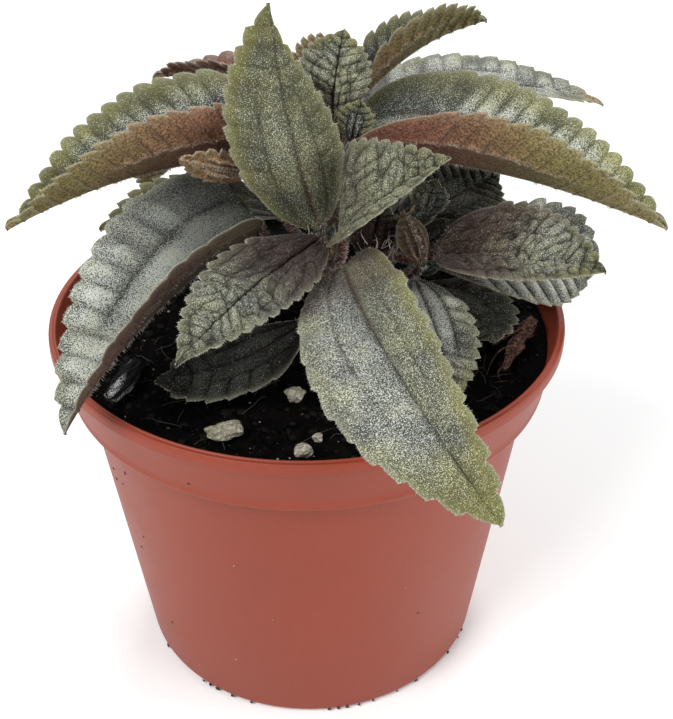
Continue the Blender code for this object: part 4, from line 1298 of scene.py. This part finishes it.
def plain_material(title, first, second, scale, **shader_values):
    """A dull finish that drifts between two colours."""
    material, tree, shader = new_material(title, **shader_values)
    drift = mottled(tree, scale, 3.0)
    dress(tree, shader, mix(tree, drift, first, second), scaled(tree, drift, 0.2, 0.65), drift, 0.2)
    return material


def perlite_material():
    """Rough off-white grains, grown over with green in places."""
    material, tree, shader = new_material("perlite", Specular_IOR_Level=0.2)
    drift = mottled(tree, 1500.0, 3.5)
    colour = mix(tree, drift, (0.25, 0.22, 0.18), (0.56, 0.51, 0.45))
    colour = tinted(tree, colour, mottled(tree, 260.0, 6.0), 0.5, (0.19, 0.21, 0.07))
    dress(tree, shader, colour, 0.8, drift, 0.4)
    return material


CRUMB_FINISH = plain_material("mix_crumbs", (0.0015, 0.0012, 0.0012), (0.010, 0.008, 0.007), 700.0,
                              Specular_IOR_Level=0.08)
FIBRE_FINISH = plain_material("mix_fibres", (0.005, 0.004, 0.003), (0.036, 0.030, 0.026), 250.0)
DIRT_FINISH = plain_material("pot_dirt", (0.010, 0.004, 0.003), (0.06, 0.022, 0.015), 900.0)
PERLITE_FINISH = perlite_material()

add_piece("mix_crumbs", crumbs(11, 1400, 0.35, 1.5), CRUMB_FINISH, slot="potting_mix")
add_piece("mix_fibres", fibres(12, 150, 3, 9, 0.11), FIBRE_FINISH, slot="potting_mix")
add_piece("perlite_dust", crumbs(13, 90, 0.16, 0.5), PERLITE_FINISH, slot="perlite")
add_piece("pot_crumbs", stuck_crumbs(CRUMB_SPOTS, 0.25, 0.5, 14), DIRT_FINISH)
add_piece("pot_foot_crumbs", stuck_crumbs(FOOT_SPOTS, 0.3, 0.7, 14), DIRT_FINISH)
add_piece("pot_dust", stuck_crumbs(PALE_SPOTS, 0.2, 0.35, 14), PERLITE_FINISH)

# %% [markdown]
# ## Perlite, bark and a withered stalk
# Perlite is puffed volcanic glass: a lump of tiny bubbles. Each grain is a sphere worked out
# on a grid, pulled in and out by sines, and it fills the box of its solid. The bark chip
# and the old stalk are tubes with ridges along them. A few torn fibres stick out of the
# stalk, as thin tubes of their own.

# %% Perlite grains
GRAINS = ("perlite_front", "perlite_middle", "perlite_left", "perlite_edge", "perlite_small")
GRAIN_RINGS = 23
GRAIN_SIDES = 36
GRAIN_WAVES = ((2, 0.306), (4, 0.153), (8, 0.068))


def grain(name, seed):
    """A lumpy sphere that fills its solid's box: radius 1 + sines of its direction."""
    draw = np.random.default_rng(seed)
    steep = np.linspace(0, np.pi, GRAIN_RINGS + 2)[1:-1, None]
    cosine, sine = circle(GRAIN_SIDES)
    way = np.stack([np.sin(steep) * cosine, np.sin(steep) * sine, np.cos(steep) + 0 * sine], axis=-1)
    way = np.concatenate([way.reshape(-1, 3), [(0, 0, 1), (0, 0, -1)]])
    radius = 1
    for waves, rise in GRAIN_WAVES:
        lean = draw.normal(0, waves, (3, 3))
        shift = draw.uniform(0, 6, 3)
        radius = radius + rise * np.sin(way @ lean + shift).mean(axis=1, keepdims=True)
    points = way * radius
    share = (points - points.min(axis=0)) / np.ptp(points, axis=0)
    low, high = np.array(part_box(name)) / MM
    return low + share * (high - low), ring_faces(GRAIN_RINGS, GRAIN_SIDES)


for seed, name in enumerate(GRAINS):
    add_piece(name + "_fine", grain(name, seed + 21), PERLITE_FINISH, stands_for=[name], slot="perlite")

# %% Bark chip and withered stalk
STICK_STEPS = 40
CHIP_AXIS = ((-42.5, -32, 0), (-40, -26, 0.4), (-38.5, -19, 0))
STALK_AXIS = ((52.5, -5, 2), (48, -13, 1.5), (43.5, -22, 0))
# Loose fibres of the stalk: start, middle and end, with heights above the mix
STALK_FIBRES = (
    ((46, -15, 2.5), (42.5, -17.5, 3.2), (39.5, -23.5, 0.6)),
    ((50, -9, 3.5), (46.5, -12, 4.6), (42.5, -15, 3.0)),
    ((44, -20, 1.5), (42, -23.5, 1.8), (43, -26, 0.4)),
)
STALK_FIBRE_RADIUS = 0.22


def ridged_stick(name, axis, radii, ridges, seed, rough=1.0):
    """A stick at its solid's height, with ridges round it: its shape, and its streaks."""
    draw = np.random.default_rng(seed)
    low, high = np.array(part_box(name)) / MM
    t = np.linspace(0, 1, STICK_STEPS)
    path = Arc(*axis).points(t)
    path[:, 2] += (low[2] + high[2]) / 2 - path[:, 2].mean()
    points, faces = tube(path, np.interp(t, np.linspace(0, 1, len(radii)), radii), STICK_STEPS)
    turn, length = 2 * np.pi * np.arange(STICK_STEPS) / STICK_STEPS, t[:, None]
    phase = draw.uniform(0, 6, 3)
    rise = 0.10 * np.sin(ridges * turn + 3 * length + phase[0])
    rise = rise + 0.08 * np.sin((ridges + 3) * turn - 17 * length + phase[1])
    rise = rise + 0.05 * draw.uniform(-1, 1, (STICK_STEPS, STICK_STEPS))
    centre = np.repeat(path, STICK_STEPS, axis=0)
    points[:-2] = centre + (points[:-2] - centre) * (1 + rough * rise).reshape(-1, 1)
    streak = ease(value_noise(length + 0 * turn, 9 * np.sin(turn) + 0 * length, 1.0, seed), 0.0, 0.5)
    return (points, faces), np.append(streak.ravel(), (0, 0))


def stalk_fibres():
    """Torn fibres of the stalk, as thin tubes along arcs that start above the mix."""
    shapes, t = [], np.linspace(0, 1, 9)
    for path in np.array(STALK_FIBRES, float):
        path[:, 2] += ground(path[:, 0], path[:, 1])
        shapes.append(tube(Arc(*path).points(t), STALK_FIBRE_RADIUS * (1.2 - t), 5))
    return gathered(shapes)


def bark_material():
    """Charred bark: near black with silvery streaks and flakes."""
    material, tree, shader = new_material("bark", Specular_IOR_Level=0.15)
    flakes = use_group(tree, STIPPLE, 3400.0, 0.5, 9.0)
    amount = times(tree, flakes["Mask"], attribute(tree, "streak"))
    colour = mix(tree, amount, (0.003, 0.003, 0.003), (0.55, 0.55, 0.55))
    dress(tree, shader, colour, 0.7, flakes["Height"], 0.3)
    return material


def withered_material():
    """Dry red-brown tissue with straw-coloured fibres."""
    material, tree, shader = new_material("withered", Specular_IOR_Level=0.2)
    drift = mottled(tree, 1100.0, 4.5)
    colour = mix(tree, drift, (0.012, 0.006, 0.005), (0.105, 0.040, 0.034))
    straw = use_group(tree, STIPPLE, 2600.0, 0.25, 9.0)
    colour = tinted(tree, colour, straw["Mask"], 0.6, (0.24, 0.16, 0.08))
    dress(tree, shader, colour, 0.75, drift, 0.5)
    return material


WITHERED_FINISH = withered_material()
chip, chip_streak = ridged_stick("bark_chip", CHIP_AXIS, (1.5, 2.2, 2.0, 1.4), 7, 31)
add_piece("bark_chip_fine", chip, bark_material(),
          stands_for=["bark_chip"], slot="bark", streak=chip_streak)
stalk, _ = ridged_stick("withered_stalk", STALK_AXIS, (1.2, 1.8, 1.2, 1.7, 0.9, 0.5), 5, 32, rough=2.0)
add_piece("withered_stalk_fine", stalk, WITHERED_FINISH,
          stands_for=["withered_stalk"], slot="withered")
add_piece("stalk_fibres", stalk_fibres(), WITHERED_FINISH, slot="withered")

# %% [markdown]
# ## Stems and their growing tips
# A stem is a fleshy tube, a little thicker where leaves leave it. At its end sit the
# scales and folded leaflets of the next pair of leaves. They are small blades of the same
# formula, set round the tip by the golden angle, which is how shoots space them.

# %% Stems
STEM_RADII = (1, 1, 0.95, 0.9, 0.85, 0.7, 0.3)
STEM_SHARES = (0, 0.2, 0.4, 0.6, 0.8, 0.94, 1)
STEM_STEPS = 60
STEM_SIDES = 24
GOLDEN_ANGLE = math.radians(137.5)
SCALES_PER_TIP = 10
# Leaflets of the side stem's tip: midrib, which way they face, half width, tone
LEAFLETS = (
    (((20.5, 1.5, 106), (28, 4, 106), (36, 7, 110)), (-0.3, -1, 0.6), 4.5, "dark"),
    (((21, 2.5, 108), (25, 5, 113), (31, 8, 116)), (-0.5, -1, 0.3), 4, "dark"),
    (((24.5, -4, 102.5), (27.5, -5.5, 104.5), (31, -7, 108)), (0.2, -1, 0.5), 1.6, "silver"),
)


def stem_material():
    """Red-brown flesh, greener in places, with a soft bloom of hairs."""
    material, tree, shader = new_material("stem", Specular_IOR_Level=0.35, Sheen_Weight=0.3)
    drift = mottled(tree, 160.0, 2.5)
    colour = mix(tree, drift, (0.055, 0.019, 0.016), (0.085, 0.048, 0.030))
    colour = tinted(tree, colour, specked(tree, 1500.0, 0.3, 0.3), 0.35, (0.20, 0.13, 0.11))
    dress(tree, shader, colour, scaled(tree, drift, 0.15, 0.5), drift, 0.1)
    return material


def stem_path(row, t):
    """Centre and radius of a stem at steps t, a tenth thicker at each tenth of the way."""
    radius = row["radius"] * np.interp(t, STEM_SHARES, STEM_RADII)
    return Arc(*row["axis"]).points(t), radius * (1 + 0.1 * np.cos(10 * np.pi * t) ** 8)


def small_row(tone, rib, seed, **own):
    """The row of a scale or leaflet, from its tone, its midrib and its own values."""
    return {**LEAF_DEFAULTS, **USUAL_TONE, **TONES[tone], **own,
            "arc": Arc(*rib), "seed": seed, "small": True}


def scale_row(stem, number):
    """One scale of a growing tip: a small blade that leans out and then up."""
    angle = number * GOLDEN_ANGLE
    outward = np.array([math.cos(angle), math.sin(angle), 0])
    size = 1.45 - 0.09 * number
    base = np.array(STEMS[stem]["axis"][2]) + outward * 0.5 - (0, 0, 2.4)
    middle = base + outward * 1.6 * size + (0, 0, 2.6 * size)
    end = base + outward * (3.6 - 0.35 * number) * size + (0, 0, 6.5 * size)
    # The dark tone brings its painted shade to the scales.
    return small_row("dark", (base, middle, end), number, fold=28, width=1.5 * size, teeth=4,
                     face=(0, 0, 0.4) - outward, pucker=0.12, tooth_depth=0.3, purple=0.9, silver=0.3)


def add_small_blade(title, leaf, stem):
    """A scale or leaflet as a piece: its blade without the petiole."""
    skin = leaf_skin({**leaf, "stem": stem, "foot": STEMS[stem]["axis"][2][2] - 2})
    skin.update(petiole=0, upper=skin["upper"][PETIOLE_ROWS:], lower=skin["lower"][PETIOLE_ROWS:])
    # Scales and leaflets take the finish for leaves in painted shade.
    add_piece(title, skin_shape(skin), LEAF_FINISHES["dark"], slot="leaf_dark",
              **leaf_amounts(leaf, skin))


STEM_FINISH = stem_material()
for name, row in STEMS.items():
    centre, radius = stem_path(row, np.linspace(0, 1, STEM_STEPS))
    add_piece(name + "_fine", tube(centre, radius, STEM_SIDES), STEM_FINISH,
              stands_for=[name], slot="stem")
    for number in range(SCALES_PER_TIP):
        add_small_blade(f"{name}_scale_{number}", scale_row(name, number), name)
for number, (rib, face, width, tone) in enumerate(LEAFLETS):
    leaflet = small_row(tone, rib, number, fold=15, width=width, face=face, teeth=5, pucker=0.15,
                        tooth_depth=0.4, shade=0.5)
    add_small_blade(f"stem_side_leaflet_{number}", leaflet, "stem_side")

# %% [markdown]
# ## Hairs
# Every part of the plant is downy: a fringe on each margin, a comb under each midrib, and
# fine wool on petioles and stems. Hair curves and particles don't survive an export, so
# each hair is a closed cone with three sides. Tens of thousands are made in one array.

# %% Hair shapes
HAIR_RADIUS = 0.045
HAIR_SINK = 0.08
HAIR_LEAN = (0.43, 0.71, 0.55)
CONE_FACES = ((2, 1, 0), (0, 1, 3), (1, 2, 3), (2, 0, 3))
MARGIN_HAIRS = 3.5
LATERAL_HAIRS = 1.6
MIDRIB_HAIRS = 4.4
PETIOLE_HAIRS = 260
STEM_HAIRS = 1500
THREAD_RADIUS = 0.07
THREADS = 26
THREAD_NESTS = {"stem_front": (4, -12, 113), "stem_back": (7, 10, 129), "stem_side": (16, -8, 112)}


def cones(roots, ways, lengths):
    """Points of three-sided cones: three round each root, and one at the tip."""
    ways = unit(ways)
    foot = rings(roots - HAIR_SINK * ways, ways, HAIR_RADIUS, 3, HAIR_LEAN)
    return np.concatenate([foot, (roots + ways * lengths[:, None])[:, None]], axis=1)


def on_grid(grid, rows, columns):
    """Points of a grid at real row and column numbers."""
    rows, columns = np.broadcast_arrays(rows, columns)
    row = np.clip(np.floor(rows).astype(int), 0, grid.shape[0] - 2)
    column = np.clip(np.floor(columns).astype(int), 0, grid.shape[1] - 2)
    return between(grid, row, column, (rows - row)[:, None], (columns - column)[:, None])


def leaf_hairs(leaf, skin, draw):
    """Roots, directions and lengths of one leaf's hairs, in millimetres."""
    upper, lower, normal, start = (skin[title] for title in ("upper", "lower", "normal", "petiole"))
    last_row, last_column = upper.shape[0] - 1, upper.shape[1] - 1
    length, middle = leaf["arc"].length, last_column // 2
    lateral = np.interp(LATERAL, skin["v"][0], np.arange(last_column + 1)) - middle
    sets = []

    def grow(root, ways, spread, short, long):
        """Hairs from their roots, with a draw for each one's direction and length."""
        ways = ways + draw.normal(0, spread, root.shape)
        sets.append((root, ways, draw.uniform(short, long, len(root))))

    for edge, inner in ((0, 2), (last_column, last_column - 2)):
        rows = draw.uniform(start, last_row, int(MARGIN_HAIRS * length))
        root = on_grid(upper, rows, edge)
        grow(root, unit(root - on_grid(upper, rows, inner)), 0.35, 0.25, 0.6)
    for column in (middle - lateral, middle + lateral):
        rows = draw.uniform(0.05, 0.6, int(LATERAL_HAIRS * length)) * (last_row - start) + start
        grow(on_grid(lower, rows, column), -on_grid(normal, rows, column), 0.2, 0.4, 0.8)
    for side in (-1, 1):
        rows = draw.uniform(0, 0.85, int(MIDRIB_HAIRS * length)) * (last_row - start) + start
        root = on_grid(lower, rows, middle + 0.6 * side)
        aside = unit(on_grid(lower, rows, middle + 2 * side) - root)
        grow(root, 0.7 * aside - on_grid(normal, rows, middle), 0.2, 0.6, 1.2)
    rows = draw.uniform(0, start + 3, PETIOLE_HAIRS)
    columns = draw.uniform(0, last_column, PETIOLE_HAIRS)
    for face, way in ((upper, 1), (lower, -1)):
        grow(on_grid(face, rows, columns), way * on_grid(normal, rows, columns), 0.4, 0.5, 1.1)
    both_widths = np.broadcast_to(leaf["width"], 2).sum()
    count = int((0.3 - 0.2 * leaf["quilt"]) * length * both_widths)
    rows, columns = draw.uniform(start, last_row, count), draw.uniform(0, last_column, count)
    grow(on_grid(upper, rows, columns), on_grid(normal, rows, columns), 0.7, 0.25, 0.45)
    return [np.concatenate(part) for part in zip(*sets)]


def stem_hairs(row, draw):
    """Roots, directions and lengths of the hairs of a stem."""
    t = draw.uniform(0.15, 1, STEM_HAIRS)
    centre, radius = stem_path(row, t)
    angle = draw.uniform(0, 2 * np.pi, STEM_HAIRS)
    way = np.stack([np.cos(angle), np.sin(angle), 0.3 + 0 * angle], axis=-1)
    length = np.where(t > 0.9, draw.uniform(0.8, 2.6, STEM_HAIRS), draw.uniform(0.5, 1.1, STEM_HAIRS))
    return centre + way * radius[:, None], way + draw.normal(0, 0.3, way.shape), length


def nest_threads(centre, draw):
    """Long bent threads of old hair round a place in millimetres, as thin tubes."""
    shapes, t = [], np.linspace(0, 1, 7)
    for _ in range(THREADS):
        angle = draw.uniform(0, 2 * np.pi)
        out = np.array([math.cos(angle), math.sin(angle), 0])
        start = centre + out * draw.uniform(0.5, 4) + (0, 0, draw.uniform(-5, 0))
        end = start + out * draw.uniform(0, 2.5) + (0, 0, draw.uniform(1.5, 4.5))
        middle = (start + end) / 2 + draw.normal(0, 0.7, 3)
        shapes.append(tube(Arc(start, middle, end).points(t), THREAD_RADIUS * (1.2 - t), 4))
    return gathered(shapes)


def hair_material():
    """Pale, thin, slightly shiny hairs."""
    material, tree, shader = new_material("hairs", Roughness=0.45, Specular_IOR_Level=0.5)
    dress(tree, shader, mix(tree, mottled(tree, 400.0, 3.0), (0.42, 0.38, 0.30), (0.66, 0.64, 0.56)))
    return material


# %% Grow the hairs
HAIR_FINISH = hair_material()
for seed, (stem, row) in enumerate(STEMS.items()):
    draw = np.random.default_rng(seed + 41)
    sets = [stem_hairs(row, draw)]
    sets += [leaf_hairs(leaf_row(name), SKINS[name], draw)
             for name in LEAVES if LEAVES[name]["stem"] == stem]
    hairs = cones(*(np.concatenate(part) for part in zip(*sets)))
    inside = (hairs >= BOX_MM[0]) & (hairs <= BOX_MM[1])
    shape = copies(hairs[inside.all(axis=(1, 2))], CONE_FACES)
    add_piece(stem.replace("stem", "hairs"), shape, HAIR_FINISH)
    add_piece(stem.replace("stem", "threads"), nest_threads(THREAD_NESTS[stem], draw), HAIR_FINISH)

# %% [markdown]
# ## Floor and light
# A studio floor is a wide pale sheet. The light comes from large soft boxes, one high on
# the left, one on the right and one behind, with a pale room all round. Large lamps make
# the soft shadows of the picture, and the room lifts the undersides of the leaves.

# %% Floor
HALF_FLOOR = 3000


def floor_material():
    """Matt pale paper."""
    material, tree, shader = new_material("floor_paper", Roughness=0.9)
    dress(tree, shader, mix(tree, mottled(tree, 3.0, 1.2), (0.83, 0.83, 0.82), (0.86, 0.86, 0.86)))
    return material


corners = np.array([(-1, -1, 0), (1, -1, 0), (1, 1, 0), (-1, 1, 0)]) * HALF_FLOOR
floor_mesh = new_mesh("floor", (corners, [np.array([(0, 1, 2, 3)])]))
floor_mesh.materials.append(floor_material())
floor = new_object("floor", floor_mesh)

# %% Lights
PLANT_MIDDLE = (0, 0, 0.1)
ROOM_COLOUR = (0.96, 0.98, 1.0, 1)
ROOM_STRENGTH = 0.5


def soft_box(name, place_at, aim, size, power):
    """A square area lamp that looks at a point."""
    lamp = bpy.data.lights.new(name, "AREA")
    lamp.size = size
    lamp.energy = power
    box = new_object(name, lamp)
    box.location = place_at
    away = np.array(place_at) - np.array(aim)
    pitch = math.atan2(math.hypot(away[0], away[1]), away[2])
    box.rotation_euler = (pitch, 0, math.atan2(away[1], away[0]) + math.pi / 2)


soft_box("key_light", (-0.7, -0.7, 1.1), PLANT_MIDDLE, 0.7, 18.5)
soft_box("fill_light", (1.0, -0.5, 0.6), PLANT_MIDDLE, 0.8, 9.5)
soft_box("back_light", (0.2, 0.9, 0.9), PLANT_MIDDLE, 0.7, 9)

world = bpy.data.worlds.new("studio")
world.use_nodes = True
background = world.node_tree.nodes["Background"]
background.inputs["Color"].default_value = ROOM_COLOUR
background.inputs["Strength"].default_value = ROOM_STRENGTH
bpy.context.scene.world = world
